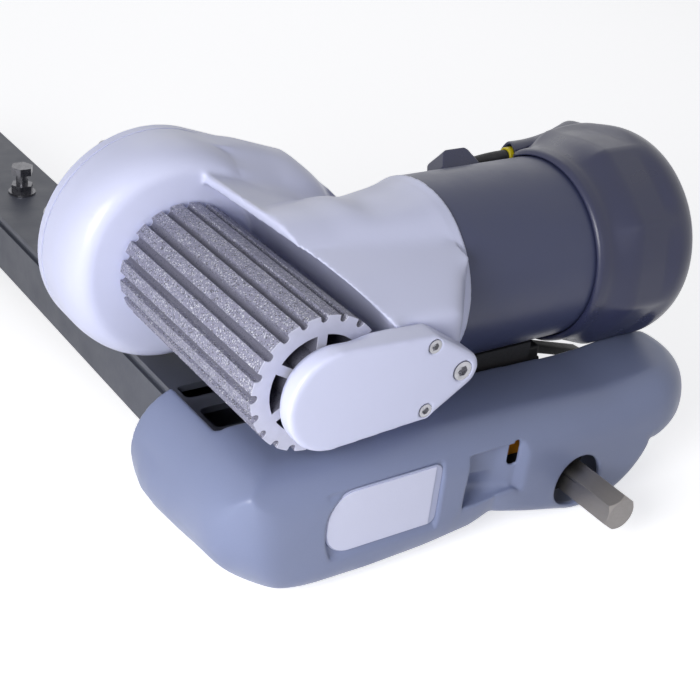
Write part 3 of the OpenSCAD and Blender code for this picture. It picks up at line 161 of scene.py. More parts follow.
cable = gridPiece(
    "motorCable",
    cablePath[:, None, :] + cableRound[None, :, :] * cableValues["diameter"] / 2 * mm,
    poleStart=True,
    poleEnd=True,
)
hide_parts("motor_cable")
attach(cable, "drive_unit")
print("stage: cable laid")

# Floor, background and soft studio light
studioValues = {
    "floorDrop": 0.0005,
    "floorReach": 60.0,
    "floorColour": (0.86, 0.86, 0.88),
    "floorRough": 0.9,
    "floorShine": 0.1,
    "floorGlow": 0.62,
    "skyColour": (0.95, 0.96, 1.0),
    "skyStrength": 0.26,
    "aim": (0.09, 0.0, -0.03),
    "lights": (  # name, place, size, power
        ("key", (-0.46, -0.30, 0.20), 0.34, 3.6),
        ("fill", (0.15, -1.3, 0.5), 0.9, 1.0),
        ("back", (0.6, 1.1, 0.9), 1.0, 1.7),
    ),
}


# 1 for what the camera sees, directly or in metal and glass; 0 for light that falls on the object
def seenRay(tree):
    lightPath = tree.nodes.new("ShaderNodeLightPath")
    result = lightPath.outputs["Is Camera Ray"]
    for ray in ("Is Glossy Ray", "Is Transmission Ray"):
        largest = tree.nodes.new("ShaderNodeMath")
        largest.operation = "MAXIMUM"
        tree.links.new(result, largest.inputs[0])
        tree.links.new(lightPath.outputs[ray], largest.inputs[1])
        result = largest.outputs[0]
    return result


reach = studioValues["floorReach"]
floorHeight = cadBox[0][2] - studioValues["floorDrop"]
floorCorners = [(x * reach, y * reach, floorHeight) for x, y in ((-1, -1), (1, -1), (1, 1), (-1, 1))]
floorMesh = bpy.data.meshes.new("floor")
floorMesh.from_pydata(floorCorners, [], [(0, 1, 2, 3)])
floor = bpy.data.objects.new("floor", floorMesh)
scene.collection.objects.link(floor)
floorMaterial = bpy.data.materials.new("floor")
floorMaterial.use_nodes = True
floorTree = floorMaterial.node_tree
floorShader = floorTree.nodes["Principled BSDF"]
floorShader.inputs["Base Color"].default_value = (*studioValues["floorColour"], 1)
floorShader.inputs["Roughness"].default_value = studioValues["floorRough"]
floorShader.inputs["Specular IOR Level"].default_value = studioValues["floorShine"]
floorGlow = floorTree.nodes.new("ShaderNodeEmission")
floorGlow.inputs["Strength"].default_value = studioValues["floorGlow"]
floorDark = floorTree.nodes.new("ShaderNodeEmission")
floorDark.inputs["Strength"].default_value = 0.0
floorSeen = floorTree.nodes.new("ShaderNodeMixShader")
floorSum = floorTree.nodes.new("ShaderNodeAddShader")
floorTree.links.new(seenRay(floorTree), floorSeen.inputs[0])
floorTree.links.new(floorDark.outputs[0], floorSeen.inputs[1])
floorTree.links.new(floorGlow.outputs[0], floorSeen.inputs[2])
floorTree.links.new(floorShader.outputs[0], floorSum.inputs[0])
floorTree.links.new(floorSeen.outputs[0], floorSum.inputs[1])
floorTree.links.new(floorSum.outputs[0], floorTree.nodes["Material Output"].inputs["Surface"])
floorMesh.materials.append(floorMaterial)

world = bpy.data.worlds.new("studio")
scene.world = world
world.use_nodes = True
worldTree = world.node_tree
worldTree.nodes.clear()
seen = worldTree.nodes.new("ShaderNodeBackground")
seen.inputs["Color"].default_value = (1, 1, 1, 1)
seen.inputs["Strength"].default_value = 1.0
lighting = worldTree.nodes.new("ShaderNodeBackground")
lighting.inputs["Color"].default_value = (*studioValues["skyColour"], 1)
lighting.inputs["Strength"].default_value = studioValues["skyStrength"]
mixSky = worldTree.nodes.new("ShaderNodeMixShader")
worldOut = worldTree.nodes.new("ShaderNodeOutputWorld")
worldTree.links.new(seenRay(worldTree), mixSky.inputs[0])
worldTree.links.new(lighting.outputs[0], mixSky.inputs[1])
worldTree.links.new(seen.outputs[0], mixSky.inputs[2])
worldTree.links.new(mixSky.outputs[0], worldOut.inputs["Surface"])

for name, place, size, power in studioValues["lights"]:
    lamp = bpy.data.lights.new(name, "AREA")
    lamp.shape = "DISK"
    lamp.size = size
    lamp.energy = power
    lampObject = bpy.data.objects.new(name, lamp)
    lampObject.location = place
    aim = np.array(studioValues["aim"]) - np.array(place)
    lampObject.rotation_euler = (
        math.pi - math.acos(aim[2] / np.linalg.norm(aim)),
        0,
        math.atan2(aim[1], aim[0]) - math.pi / 2,
    )
    lampObject.visible_camera = False
    scene.collection.objects.link(lampObject)
print("stage: studio set")


# How far apart joined points may lie, and the steps that copies of nodes are eased by
easeValues = {
    "weld": 1e-6,
    "step": 0.5,
    "stepBack": -0.52,
}


# Joined copy of a node's loose triangles, with another closed mesh beside them where one is given
def joinedCopy(name, node, added=None, turnOut=False):
    merged = bmesh.new()
    merged.from_mesh(cadNodes[node].data)
    if added:
        merged.from_mesh(added)
    bmesh.ops.remove_doubles(merged, verts=merged.verts, dist=easeValues["weld"])
    if turnOut:
        bmesh.ops.recalc_face_normals(merged, faces=merged.faces)
    mesh = bpy.data.meshes.new(name)
    merged.to_mesh(mesh)
    merged.free()
    return mesh


# The mesh that an object has after its modifiers, which are then taken off
def finishedMesh(piece):
    bpy.context.view_layer.update()
    mesh = bpy.data.meshes.new_from_object(piece.evaluated_get(bpy.context.evaluated_depsgraph_get()))
    piece.modifiers.clear()
    return mesh


# Remade copy of a node: an even skin of small faces, moved by warp, then each point goes part of the way
# to the mean of its neighbours, p += step w (mean - p), where easeAt gives w, near 0 in the crisp places
def easedSkin(name, node, body, values, easeAt, warp, added=None):
    raw = joinedCopy(name + "Raw", node, added, turnOut=True)
    piece = bpy.data.objects.new(name, raw)
    scene.collection.objects.link(piece)
    remesh = piece.modifiers.new("skin", "REMESH")
    remesh.mode = "VOXEL"
    remesh.voxel_size = values["voxel"] * mm
    skin = finishedMesh(piece)
    piece.data = skin
    count = len(skin.vertices)
    points = np.empty(count * 3)
    skin.vertices.foreach_get("co", points)
    points = warp(points.reshape(-1, 3) / mm) * mm
    edges = np.empty(len(skin.edges) * 2, dtype=np.int64)
    skin.edges.foreach_get("vertices", edges)
    edges = edges.reshape(-1, 2)
    start = np.concatenate([edges[:, 0], edges[:, 1]])
    end = np.concatenate([edges[:, 1], edges[:, 0]])
    degree = np.bincount(start, minlength=count)[:, None]
    free = easeAt(points / mm)[:, None]

    def step(amount):
        mean = np.stack([np.bincount(start, points[end, axis], count) for axis in range(3)], axis=1) / degree
        return points + (mean - points) * amount

    for pair in range(values["evenRounds"]):  # even out the voxel steps without shrinking
        points = step(easeValues["step"])
        points = step(easeValues["stepBack"])
    for pair in range(values["rounds"]):
        points = step(easeValues["step"] * free)
    skin.vertices.foreach_set("co", points.ravel())
    skin.update()
    if count > values["mostPoints"]:
        thin = piece.modifiers.new("thin", "DECIMATE")
        thin.ratio = values["mostPoints"] / count
        piece.data = finishedMesh(piece)
        bpy.data.meshes.remove(skin)
    piece.data.name = name
    piece.data.shade_smooth()
    bpy.data.meshes.remove(raw)
    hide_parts(node)
    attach(piece, body)
    print("eased", name, count, "points")
    return piece


# Distance from a line along y through (x, z)
def fromYLine(points, x, z):
    return np.hypot(points[:, 0] - x, points[:, 2] - z)


# How far (x, z) lies outside a box of left, right, low and high
def outsideBox(x, z, box):
    return np.maximum.reduce([box[0] - x, x - box[1], box[2] - z, z - box[3]])


# Gearbox casting: soft at the disc's shoulder and where the panel runs into the barrel, crisp elsewhere
caseValues = {
    "voxel": 0.95,
    "evenRounds": 5,
    "rounds": 160,
    "mostPoints": 96000,
    "least": 0.01,
    "blend": 0.9,
    "blendX": (34.0, 52.0, 96.0, 104.0),
    "blendY": (88.0, 98.0),
    "blendZ": (-12.0, 6.0),
    "shoulder": 0.25,
    "shoulderR": 58.0,
    "shoulderHalf": (4.0, 12.0),
    "shoulderX": (10.0, 30.0),
    "shoulderY": (92.0, 99.0),
    "troughR": 45.0,
    "troughHalf": (1.5, 5.0),
    "waistX": (76.0, 84.0, 92.0, 100.0, 106.0, 112.0),
    "waistIn": (4.3, 3.7, 3.7, 3.2, 2.1, 0.0),
    "waistFrom": (60.0, 72.0),
    "waistY": (62.0, 72.0),
    "waistR": (42.0, 48.0),
    "waistFacing": (0.5, 0.87),
    "waistTurn": (0.5, 0.9),
    "farEdge": 2.6,
    "farEdgeX": (20.0, 50.0, 76.0, 92.0),
    "farEdgeY": (78.0, 94.0),
    "farEdgeZ": (26.0, 38.0),
}


def caseEase(points):
    x, y, z = points.T
    v = caseValues
    fromRoller = np.hypot(x, z)
    blend = within(x, v["blendX"]) * fall(y, *v["blendY"]) * rise(z, *v["blendZ"])
    shoulder = fall(np.abs(fromRoller - v["shoulderR"]), *v["shoulderHalf"])
    shoulder = shoulder * fall(y, *v["shoulderY"]) * fall(x, *v["shoulderX"])
    trough = rise(np.abs(fromRoller - v["troughR"]), *v["troughHalf"])
    return np.maximum(np.maximum(blend * v["blend"], shoulder * v["shoulder"]) * trough, v["least"])


# The barrel narrows towards the panel on its upper side, r -= waist, and the panel's far edge stands higher
def caseWarp(points):
    x, y, z = points.T
    v = caseValues
    aside = y - cableValues["axisHeight"]
    fromAxis = np.maximum(np.hypot(aside, z), tiny)
    facing = (aside * v["waistFacing"][0] + z * v["waistFacing"][1]) / fromAxis
    upper = rise(facing, *v["waistTurn"]) * rise(fromAxis, *v["waistR"])
    waist = rise(x, *v["waistFrom"]) * np.interp(x, v["waistX"], v["waistIn"]) * fall(y, *v["waistY"])
    scale = 1 - upper * waist / fromAxis
    farEdge = v["farEdge"] * within(x, v["farEdgeX"]) * rise(z, *v["farEdgeZ"]) * rise(y, *v["farEdgeY"])
    return np.stack([x, cableValues["axisHeight"] + aside * scale, z * scale + farEdge], axis=1)


casing = easedSkin("casting", "gearbox_case", "drive_unit", caseValues, caseEase, caseWarp)

# Cowl: soft mouldings, with the slot, the pocket, the hexagon's hole and the label's bed kept crisp
cowlValues = {
    "voxel": 0.95,
    "evenRounds": 5,
    "rounds": 160,
    "mostPoints": 96000,
    "least": 0.002,
    "soft": 0.05,
    "holeAt": (178.0, -100.0),
    "holeR": (18.0, 22.0),
    "pocketBox": (94.0, 133.0, -96.0, -60.0),
    "bedBox": (6.0, 82.0, -101.0, -58.0),
    "boxEdge": (0.0, 4.0),
    "boxY": (-62.0, -56.0),
    "corner": 0.9,
    "cornerX": (-8.0, 4.0),
    "cornerY": (-14.0, 4.0),
    "cornerZ": (-66.0, -56.0),
    "keelX": (-40.0, -30.0, -18.0, 10.0, 40.0, 75.0, 108.0, 115.0, 122.0, 130.0, 145.0, 160.0, 172.0),
    "keelDown": (0.4, 2.2, 5.4, 9.4, 11.8, 12.8, 12.0, 9.8, 7.3, 6.2, 4.4, 2.0, 0.0),
    "keelY": (-52.0, -26.0),
    "keelZ": (-101.0, -82.0),
    "wingAt": (-13.0, -78.0),
    "wingTurn": (0.45, 0.9),
    "wingR": (20.0, 28.0),
    "wingY": (-56.0, -45.0, -34.0, -25.0, -14.0, 0.0, 12.0, 27.0),
    "wingOut": (0.2, 0.8, 1.8, 2.8, 3.9, 4.5, 3.9, 0.0),
    "lift": 4.4,
    "liftX": (195.0, 250.0),
    "liftZ": (-80.0, -62.0),
    "side": 3.6,
    "sideX": (192.0, 206.0, 232.0, 250.0),
    "sideZ": (-92.0, -82.0),
    "noseIn": 1.6,
    "noseX": (240.0, 275.0),
    "noseZ": (-88.0, -74.0),
    "pocketDeep": 2.3,
    "pocketX": (98.5, 101.0, 117.0, 130.0),
    "pocketY": (-73.5, -69.0),
    "pocketZ": (-92.5, -90.0, -65.0, -62.5),
    "cornerDeep": 4.7,
    "cornerDeepX": (106.0, 122.0),
    "cornerDeepZ": (-91.0, -79.5),
    "ledgeUp": 4.4,
    "ledgeX": (90.0, 99.0, 128.0, 138.0),
    "ledgeZ": (-100.0, -92.5, -90.0, -76.0),
    "edgeOut": 1.6,
    "edgeX": (85.0, 97.0, 101.0, 118.0),
    "edgeZ": (-104.0, -93.0, -64.0, -57.0),
    "lowEdgeOut": 1.0,
    "lowEdgeZ": (-92.0, -66.0),
    "frontY": (-58.0, -54.0),
    "bedDeep": 0.9,
    "bedX": (8.5, 10.0, 78.5, 80.0),
    "bedY": (-73.6, -72.4),
    "bedZ": (-99.0, -97.5, -61.5, -60.0),
    "underZ": -110.3,
    "underSlope": 0.0655,
    "roundY": -60.0,
    "roundR": 14.0,
    "roundTo": 13.9,
    "bandX": (8.0, 9.5, 79.5, 81.0),
    "bandY": (-70.9, -70.3),
    "bandZ": (-113.0, -110.0, -99.2, -98.2),
}


def cowlEase(points):
    x, y, z = points.T
    v = cowlValues
    hole = rise(fromYLine(points, *v["holeAt"]), *v["holeR"])
    pocket = rise(outsideBox(x, z, v["pocketBox"]), *v["boxEdge"])
    bed = rise(outsideBox(x, z, v["bedBox"]), *v["boxEdge"])
    behind = rise(y, *v["boxY"])
    crisp = np.minimum.reduce([hole, np.maximum(pocket, behind), np.maximum(bed, behind)])
    corner = fall(x, *v["cornerX"]) * fall(y, *v["cornerY"]) * fall(z, *v["cornerZ"])
    return np.maximum(crisp * v["soft"] + v["least"], corner * v["corner"])


# Fuller than its solid: a keel under the front, a rounder wing end, a higher nose and a deeper pocket with
# a higher ledge. The band below the label's bed comes out to a quarter round, y = -sqrt(r^2 - up^2)
def cowlWarp(points):
    x, y, z = points.T
    v = cowlValues
    wingX = x - v["wingAt"][0]
    wingZ = z - v["wingAt"][1]
    fromWing = np.maximum(np.hypot(wingX, wingZ), tiny)
    facing = -(wingX + wingZ) / fromWing / math.sqrt(2)
    wing = rise(facing, *v["wingTurn"]) * rise(fromWing, *v["wingR"])
    wing = wing * np.interp(y, v["wingY"], v["wingOut"]) / fromWing
    keel = np.interp(x, v["keelX"], v["keelDown"]) * fall(y, *v["keelY"]) * fall(z, *v["keelZ"])
    lift = v["lift"] * rise(x, *v["liftX"]) * rise(z, *v["liftZ"])
    side = v["side"] * within(x, v["sideX"]) * fall(z, *v["sideZ"])
    nose = v["noseIn"] * rise(x, *v["noseX"]) * fall(z, *v["noseZ"])
    front = fall(y, *v["frontY"])
    ledge = v["ledgeUp"] * within(x, v["ledgeX"]) * within(z, v["ledgeZ"]) * front
    edge = v["edgeOut"] + v["lowEdgeOut"] * fall(z, *v["lowEdgeZ"])
    edge = edge * within(x, v["edgeX"]) * within(z, v["edgeZ"]) * front
    pocket = v["pocketDeep"] + v["cornerDeep"] * fall(z, *v["cornerDeepZ"]) * fall(x, *v["cornerDeepX"])
    pocket = pocket * within(x, v["pocketX"]) * within(z, v["pocketZ"]) * rise(y, *v["pocketY"])
    bed = v["bedDeep"] * within(x, v["bedX"]) * within(z, v["bedZ"]) * rise(y, *v["bedY"])
    newX = x + wing * np.minimum(wingX, 0.0) + side - nose - edge
    newY = y + pocket + bed
    newZ = z + wing * wingZ - keel + lift + ledge
    up = np.clip(v["underZ"] + v["underSlope"] * wingX + v["roundR"] - z, 0.0, v["roundTo"])
    roundY = v["roundY"] - np.sqrt(v["roundR"] ** 2 - up**2)
    band = within(x, v["bandX"]) * within(newZ, v["bandZ"]) * fall(y, *v["bandY"])
    newY = newY + (np.minimum(roundY, newY) - newY) * band
    return np.stack([newX, newY, newZ], axis=1)


# Floor of the cowl's wing: a loft from a front outline to a back one. Each outline's points p come back
# as inner points, p + wall (c - p) / |c - p|
wingValues = {
    "frontX": (-43.9, -42.4, -39.15, -34.6, -29.4, -24.2, -21.9),
    "frontZ": (-87.0, -90.3, -96.3, -101.9, -106.4, -108.8, -109.2),
    "backX": (-43.9, -42.6, -39.2, -34.6, -29.4, -24.2, -21.9),
    "backZ": (-87.0, -92.0, -96.9, -100.8, -105.1, -107.9, -108.6),
    "frontY": -24.0,
    "backY": 26.0,
    "centre": (-18.0, -80.0),
    "wall": 3.0,
}


def wingLoop(end):
    outer = np.stack([wingValues[end + "X"], wingValues[end + "Z"]], axis=1)
    inward = np.array(wingValues["centre"]) - outer
    inner = outer + wingValues["wall"] * inward / np.linalg.norm(inward, axis=1)[:, None]
    loop = np.concatenate([outer, inner[::-1]])
    return np.stack([loop[:, 0], np.full(len(loop), wingValues[end + "Y"]), loop[:, 1]], axis=1)


wingPoints = np.concatenate([wingLoop("front"), wingLoop("back")])
around = np.arange(len(wingPoints) // 2)
onward = np.roll(around, -1)
wingSides = np.stack([around, onward, onward + len(around), around + len(around)], axis=1).tolist()
wingCaps = [around[::-1].tolist(), (around + len(around)).tolist()]
wingFloor = bpy.data.meshes.new("wingFloor")
wingFloor.from_pydata((wingPoints * mm).tolist(), [], wingSides + wingCaps)
cowl = easedSkin("cowl", "base_cover", "base", cowlValues, cowlEase, cowlWarp, wingFloor)

# Support arm: wide soft edge all round the face, with the three screw recesses kept
armValues = {
    "voxel": 0.7,
    "evenRounds": 5,
    "rounds": 30,
    "mostPoints": 90000,
    "least": 0.02,
    "soft": 0.95,
    "screws": ((51.5, 17.3), (51.5, -17.3)),
    "screwR": (4.4, 6.0),
    "earScrew": (70.7, 0.0),
    "earScrewR": (6.0, 7.4),
    "drawIn": 4.5,
    "drawX": (8.0, 30.0),
    "drawY": (-75.0, -68.0),
    "drawR": (20.5, 25.0),
}


def armEase(points):
    screws = np.minimum.reduce([fromYLine(points, *place) for place in armValues["screws"]])
    earScrew = fromYLine(points, *armValues["earScrew"])
    free = np.minimum(rise(screws, *armValues["screwR"]), rise(earScrew, *armValues["earScrewR"]))
    return free * armValues["soft"] + armValues["least"]


# The hub's back edge draws in towards the roller: r falls by a ramp in y, fading along the arm
def armWarp(points):
    x, y, z = points.T
    fromAxis = np.maximum(np.hypot(x, z), tiny)
    draw = armValues["drawIn"] * rise(y, *armValues["drawY"]) * fall(x, *armValues["drawX"])
    draw = draw * rise(fromAxis, *armValues["drawR"])
    scale = (fromAxis - draw) / fromAxis
    return np.stack([x * scale, y, z * scale], axis=1)


arm = easedSkin("supportArm", "support_arm", "drive_unit", armValues, armEase, armWarp)

# Cable clip: shorter on the tube than its solid, with small soft edges
clipValues = {
    "voxel": 0.55,
    "evenRounds": 4,
    "rounds": 6,
    "mostPoints": 60000,
    "soft": 0.8,
    "solidX": (144.0, 157.0, 160.0, 176.0, 178.5, 186.0),
    "shownX": (149.5, 153.5, 155.5, 168.5, 170.5, 175.0),
}


def clipEase(points):
    return np.full(len(points), clipValues["soft"])


def clipWarp(points):
    newX = np.interp(points[:, 0], clipValues["solidX"], clipValues["shownX"])
    return np.stack([newX, points[:, 1], points[:, 2]], axis=1)


clip = easedSkin("cableClip", "cable_clip", "drive_unit", clipValues, clipEase, clipWarp)
print("stage: mouldings eased")

# Motor cap: a round collar that flares to eight bowed sides, then a round end. Its radius is a function of
# angle and length, r = collar + (side - collar) grow - drop, with a ridge and a swelling over the cable
capValues = {
    "start": 199.0,
    "length": 71.0,
    "wall": 1.6,
    "columns": 460,
    "evenShare": 0.3,
    "lipRows": (0.0, 0.18, 0.4, 0.75, 1.2, 1.8, 2.6, 3.6),
    "sideRows": (4.8, 60.0, 50),
    "endRows": 32,
    "lipX": (0.0, 0.35, 1.2, 5.0, 71.0),
    "lipR": (51.6, 52.8, 53.5, 53.9, 53.9),
    "flare": (7.0, 27.0),
    "sides": 8,
    "sideTurnDegrees": -15.5,
    "sideAt": 58.9,
    "ridgeUp": 2.9,
    "bowTo": 0.95,
    "bowPower": 2.4,
    "rimR": 61.4,
    "rimFrom": (44.0, 56.0),
    "endX": (54.0, 58.0, 62.0, 66.0, 69.0, 70.6, 71.0),
    "endDrop": (0.0, 0.4, 1.6, 3.9, 7.2, 10.6, 13.5),
    "under": 1.4,
    "grooveAt": 66.8,
    "grooveDeep": 0.8,
    "grooveHalf": 0.6,
    "setBack": 8.0,
    "setBackHalf": 0.17,
    "bossX": (0.0, 6.0, 14.0, 28.0, 40.0, 48.0, 54.0, 58.0, 62.0, 68.0),
    "bossR": (6.7, 6.7, 6.9, 8.3, 10.4, 12.4, 13.6, 11.6, 6.5, 0.5),
    "leastBoss": 0.1,
    "blend": 4.0,
    "ridge": 3.0,
    "ridgeDegrees": -9.0,
    "ridgeHalf": 0.2,
    "ridgeX": (14.0, 46.0, 56.0, 64.0),
}
spread = np.linspace(-1, 1, capValues["columns"], endpoint=False)  # columns lie closer over the cable
offset = np.pi * (capValues["evenShare"] * spread + (1 - capValues["evenShare"]) * spread**3)
sideEnd = capValues["sideRows"][1]
endTurn = np.linspace(0, np.pi / 2, capValues["endRows"])[1:]
lengthwise = np.concatenate(
    [
        np.array(capValues["lipRows"]),
        np.linspace(*capValues["sideRows"]),
        sideEnd + (capValues["length"] - sideEnd) * np.sin(endTurn),
    ]
)


# Smooth curve through given points, by cubic pieces with slopes from the neighbours
def smoothLine(x, knotsX, knotsY):
    knotsX = np.asarray(knotsX, float)
    knotsY = np.asarray(knotsY, float)
    slopes = np.gradient(knotsY, knotsX)
    seat = np.clip(np.searchsorted(knotsX, x, side="right") - 1, 0, len(knotsX) - 2)
    width = knotsX[seat + 1] - knotsX[seat]
    t = np.clip((x - knotsX[seat]) / width, 0, 1)
    return (
        (2 * t**3 - 3 * t**2 + 1) * knotsY[seat]
        + (t**3 - 2 * t**2 + t) * width * slopes[seat]
        + (3 * t**2 - 2 * t**3) * knotsY[seat + 1]
        + (t**3 - t**2) * width * slopes[seat + 1]
    )


# Bell curve exp(-(d / half)^2) about a middle
def bell(value, middle, half):
    return np.exp(-(((value - middle) / half) ** 2))


lipR = np.interp(lengthwise, capValues["lipX"], capValues["lipR"])[:, None]
sideStep = np.pi / capValues["sides"]
fromSide = np.mod(offset - math.radians(capValues["sideTurnDegrees"]), 2 * sideStep) - sideStep
bow = np.minimum(np.abs(fromSide) / sideStep, capValues["bowTo"]) ** capValues["bowPower"]
sideR = capValues["sideAt"] + capValues["ridgeUp"] * bow
grow = rise(lengthwise, *capValues["flare"])[:, None]
rim = rise(lengthwise, *capValues["rimFrom"])[:, None]
sideR = sideR[None, :] + (capValues["rimR"] - sideR)[None, :] * rim
sideR = sideR - capValues["under"] * (1 - np.cos(offset))[None, :] / 2
endDrop = smoothLine(np.maximum(lengthwise, capValues["endX"][0]), capValues["endX"], capValues["endDrop"])
groove = capValues["grooveDeep"] * bell(lengthwise, capValues["grooveAt"], capValues["grooveHalf"])
bodyR = lipR + (sideR - lipR) * grow - (endDrop + groove)[:, None]
ridgeIn = within(lengthwise, capValues["ridgeX"])
ridgeAcross = bell(offset, math.radians(capValues["ridgeDegrees"]), capValues["ridgeHalf"])
bodyR = bodyR + capValues["ridge"] * ridgeIn[:, None] * ridgeAcross[None, :]
bossR = smoothLine(lengthwise, capValues["bossX"], capValues["bossR"])
bossR = np.maximum(bossR, capValues["leastBoss"])[:, None]
aside = cableValues["fromAxis"] * np.sin(offset)[None, :]
overBoss = (np.abs(aside) < bossR) & (np.cos(offset)[None, :] > 0)
swell = cableValues["fromAxis"] * np.cos(offset)[None, :] + np.sqrt(np.maximum(bossR**2 - aside**2, 0))
swell = np.where(overBoss, swell, 0.0)
nearness = np.maximum(1 - np.abs(bodyR - swell) / capValues["blend"], 0)
capR = np.maximum(bodyR, swell) + capValues["blend"] / 4 * nearness**2
capStart = capValues["setBack"] * bell(offset, 0.0, capValues["setBackHalf"])
capX = capStart[None, :] + lengthwise[:, None] * (1 - capStart / capValues["length"])[None, :]
capX = capValues["start"] + capX
capAngle = lean + offset
capDirection = np.stack([np.zeros_like(capAngle), np.sin(capAngle), np.cos(capAngle)], axis=-1)
capGrid = motorAxis + capX[:, :, None] * forward + capR[:, :, None] * capDirection[None, :, :]
cap = gridPiece("motorCap", capGrid * mm, poleEnd=True)
wall = cap.modifiers.new("wall", "SOLIDIFY")
wall.thickness = capValues["wall"] * mm
wall.offset = -1
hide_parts("motor_cap")
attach(cap, "drive_unit")
print("stage: cap turned")

# Yellow ring in the cap's mouth: rounded section (along, from the middle) carried round the cable's line
ringValues = {
    "start": 202.0,
    "sectionX": (0.0, 0.15, 0.5, 3.25, 6.0, 6.35, 6.5, 6.5, 6.0, 0.5, 0.0),
    "sectionR": (4.8, 5.15, 5.3, 5.3, 5.3, 5.15, 4.8, 4.1, 4.02, 4.02, 4.1),
}
ringX = ringValues["start"] + np.array(ringValues["sectionX"])
ringR = np.array(ringValues["sectionR"])
ringAxis = motorAxis + cableValues["fromAxis"] * outward
ringGrid = ringAxis + ringX[:, None, None] * forward + ringR[:, None, None] * cableRound[None, :, :]
ring = gridPiece("cableRing", ringGrid * mm, closedAlong=True)
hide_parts("cable_ring")
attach(ring, "drive_unit")

# Label's bed: a round-cornered plate behind the label, lighter than the cowl as a painted highlight for the
# lit bevel round the label, seen as a border
bedValues = {
    "left": 9.7,
    "right": 78.8,
    "low": -97.8,
    "high": -61.2,
    "leftRound": 15.8,
    "rightRound": 5.0,
    "back": -71.4,
    "face": -72.35,
    "edge": 0.3,
    "cornerPoints": 14,
}
quarter = np.linspace(0, np.pi / 2, bedValues["cornerPoints"])
bedCorners = (
    ("right", "high", "rightRound", 0.0),
    ("left", "high", "leftRound", 0.5),
    ("left", "low", "leftRound", 1.0),
    ("right", "low", "rightRound", 1.5),
)


# Outline of the bed, each corner a quarter circle, drawn in by an inset
def bedOutline(y, inset):
    arcs = []
    for across, upright, roundness, startTurn in bedCorners:
        radius = bedValues[roundness]
        centreX = bedValues[across] + (radius if across == "left" else -radius)
        centreZ = bedValues[upright] + (radius if upright == "low" else -radius)
        angle = quarter + startTurn * np.pi
        arcX = centreX + (radius - inset) * np.cos(angle)
        arcZ = centreZ + (radius - inset) * np.sin(angle)
        arcs.append(np.stack([arcX, np.full(len(angle), y), arcZ], axis=1))
    return np.concatenate(arcs)


bedGrid = np.stack(
    [
        bedOutline(bedValues["back"], 0.0),
        bedOutline(bedValues["face"] + bedValues["edge"], 0.0),
        bedOutline(bedValues["face"], bedValues["edge"]),
        bedOutline(bedValues["face"], 2 * bedValues["edge"]),
    ]
)
labelBed = gridPiece("labelBed", bedGrid * mm, poleStart=True, poleEnd=True)
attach(labelBed, "base")


# Rounded block: a superellipsoid, each of sine and cosine raised to a small power
def roundedBlock(low, high, sharp, steps=40):
    low = np.array(low, float)
    high = np.array(high, float)
    around = np.linspace(0, 2 * np.pi, steps, endpoint=False)
    up = np.linspace(-np.pi / 2, np.pi / 2, steps // 2 + 1)[1:-1]
    shape = np.stack(
        [
            squared(np.cos(up), sharp)[:, None] * squared(np.cos(around), sharp)[None, :],
            squared(np.cos(up), sharp)[:, None] * squared(np.sin(around), sharp)[None, :],
            np.repeat(squared(np.sin(up), sharp)[:, None], steps, axis=1),
        ],
        axis=-1,
    )
    return (low + high) / 2 + shape * (high - low) / 2


# Stop bracket on the saddle's end: a block under the motor, a leg down from it and a strut out to the right
bracketValues = {
    "block": ((181.5, -8.0, -65.5), (197.0, 10.0, -52.5)),
    "blockSharp": 0.22,
    "leg": ((187.0, -8.0, -82.0), (198.0, -3.0, -60.0)),
    "legSharp": 0.16,
    "strutFrom": (193.0, 2.0, -57.0),
    "strutTo": (246.0, 9.0, -76.0),
    "strutWide": 5.0,
    "strutThick": 2.6,
    "strutSharp": 0.3,
    "strutRows": 12,
}
blockGrid = roundedBlock(*bracketValues["block"], bracketValues["blockSharp"])
stopBlock = gridPiece("stopBlock", blockGrid * mm, poleStart=True, poleEnd=True)
legGrid = roundedBlock(*bracketValues["leg"], bracketValues["legSharp"])
stopLeg = gridPiece("stopLeg", legGrid * mm, poleStart=True, poleEnd=True)
strutFrom = np.array(bracketValues["strutFrom"])
strutRun = np.array(bracketValues["strutTo"]) - strutFrom
strutAlong = strutRun / np.linalg.norm(strutRun)
strutAcross = np.cross(strutAlong, np.array([0.0, 0, 1]))
strutAcross = strutAcross / np.linalg.norm(strutAcross)
strutUp = np.cross(strutAcross, strutAlong)
sectionAcross = squared(np.cos(turn), bracketValues["strutSharp"]) * bracketValues["strutWide"]
sectionUp = squared(np.sin(turn), bracketValues["strutSharp"]) * bracketValues["strutThick"]
section = sectionAcross[:, None] * strutAcross + sectionUp[:, None] * strutUp
strutPlace = np.linspace(0, 1, bracketValues["strutRows"])[:, None, None]
strutGrid = strutFrom + strutPlace * strutRun + section[None, :, :]
stopStrut = gridPiece("stopStrut", strutGrid * mm, poleStart=True, poleEnd=True)
for piece in (stopBlock, stopLeg, stopStrut):
    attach(piece, "drive_unit")

# Cross bar: joined copy of its solid with two round-cornered openings in the top near the cowl
barValues = {
    "openings": (((-4.0, 12.0, -80.0), (34.0, 32.5, -60.0)), ((-4.0, 44.0, -80.0), (34.0, 57.0, -60.0))),
    "cornerSharp": 0.25,
}
bar = bpy.data.objects.new("crossBar", joinedCopy("crossBar", "cross_bar"))
scene.collection.objects.link(bar)
cutters = []
for low, high in np.array(barValues["openings"]):
    centre = (low + high) / 2
    half = (high - low) / 2
    outlineX = centre[0] + half[0] * squared(np.cos(turn), barValues["cornerSharp"])
    outlineY = centre[1] + half[1] * squared(np.sin(turn), barValues["cornerSharp"])
    levels = [np.full(len(turn), z) for z in (low[2], high[2])]
    column = np.stack([np.stack([outlineX, outlineY, level], axis=1) for level in levels])
    cutter = gridPiece("opening", column * mm, poleStart=True, poleEnd=True)
    cut = bar.modifiers.new("opening", "BOOLEAN")
    cut.operation = "DIFFERENCE"
    cut.object = cutter
    cutters.append(cutter)
bar.data = finishedMesh(bar)
bar.data.name = "crossBarCut"
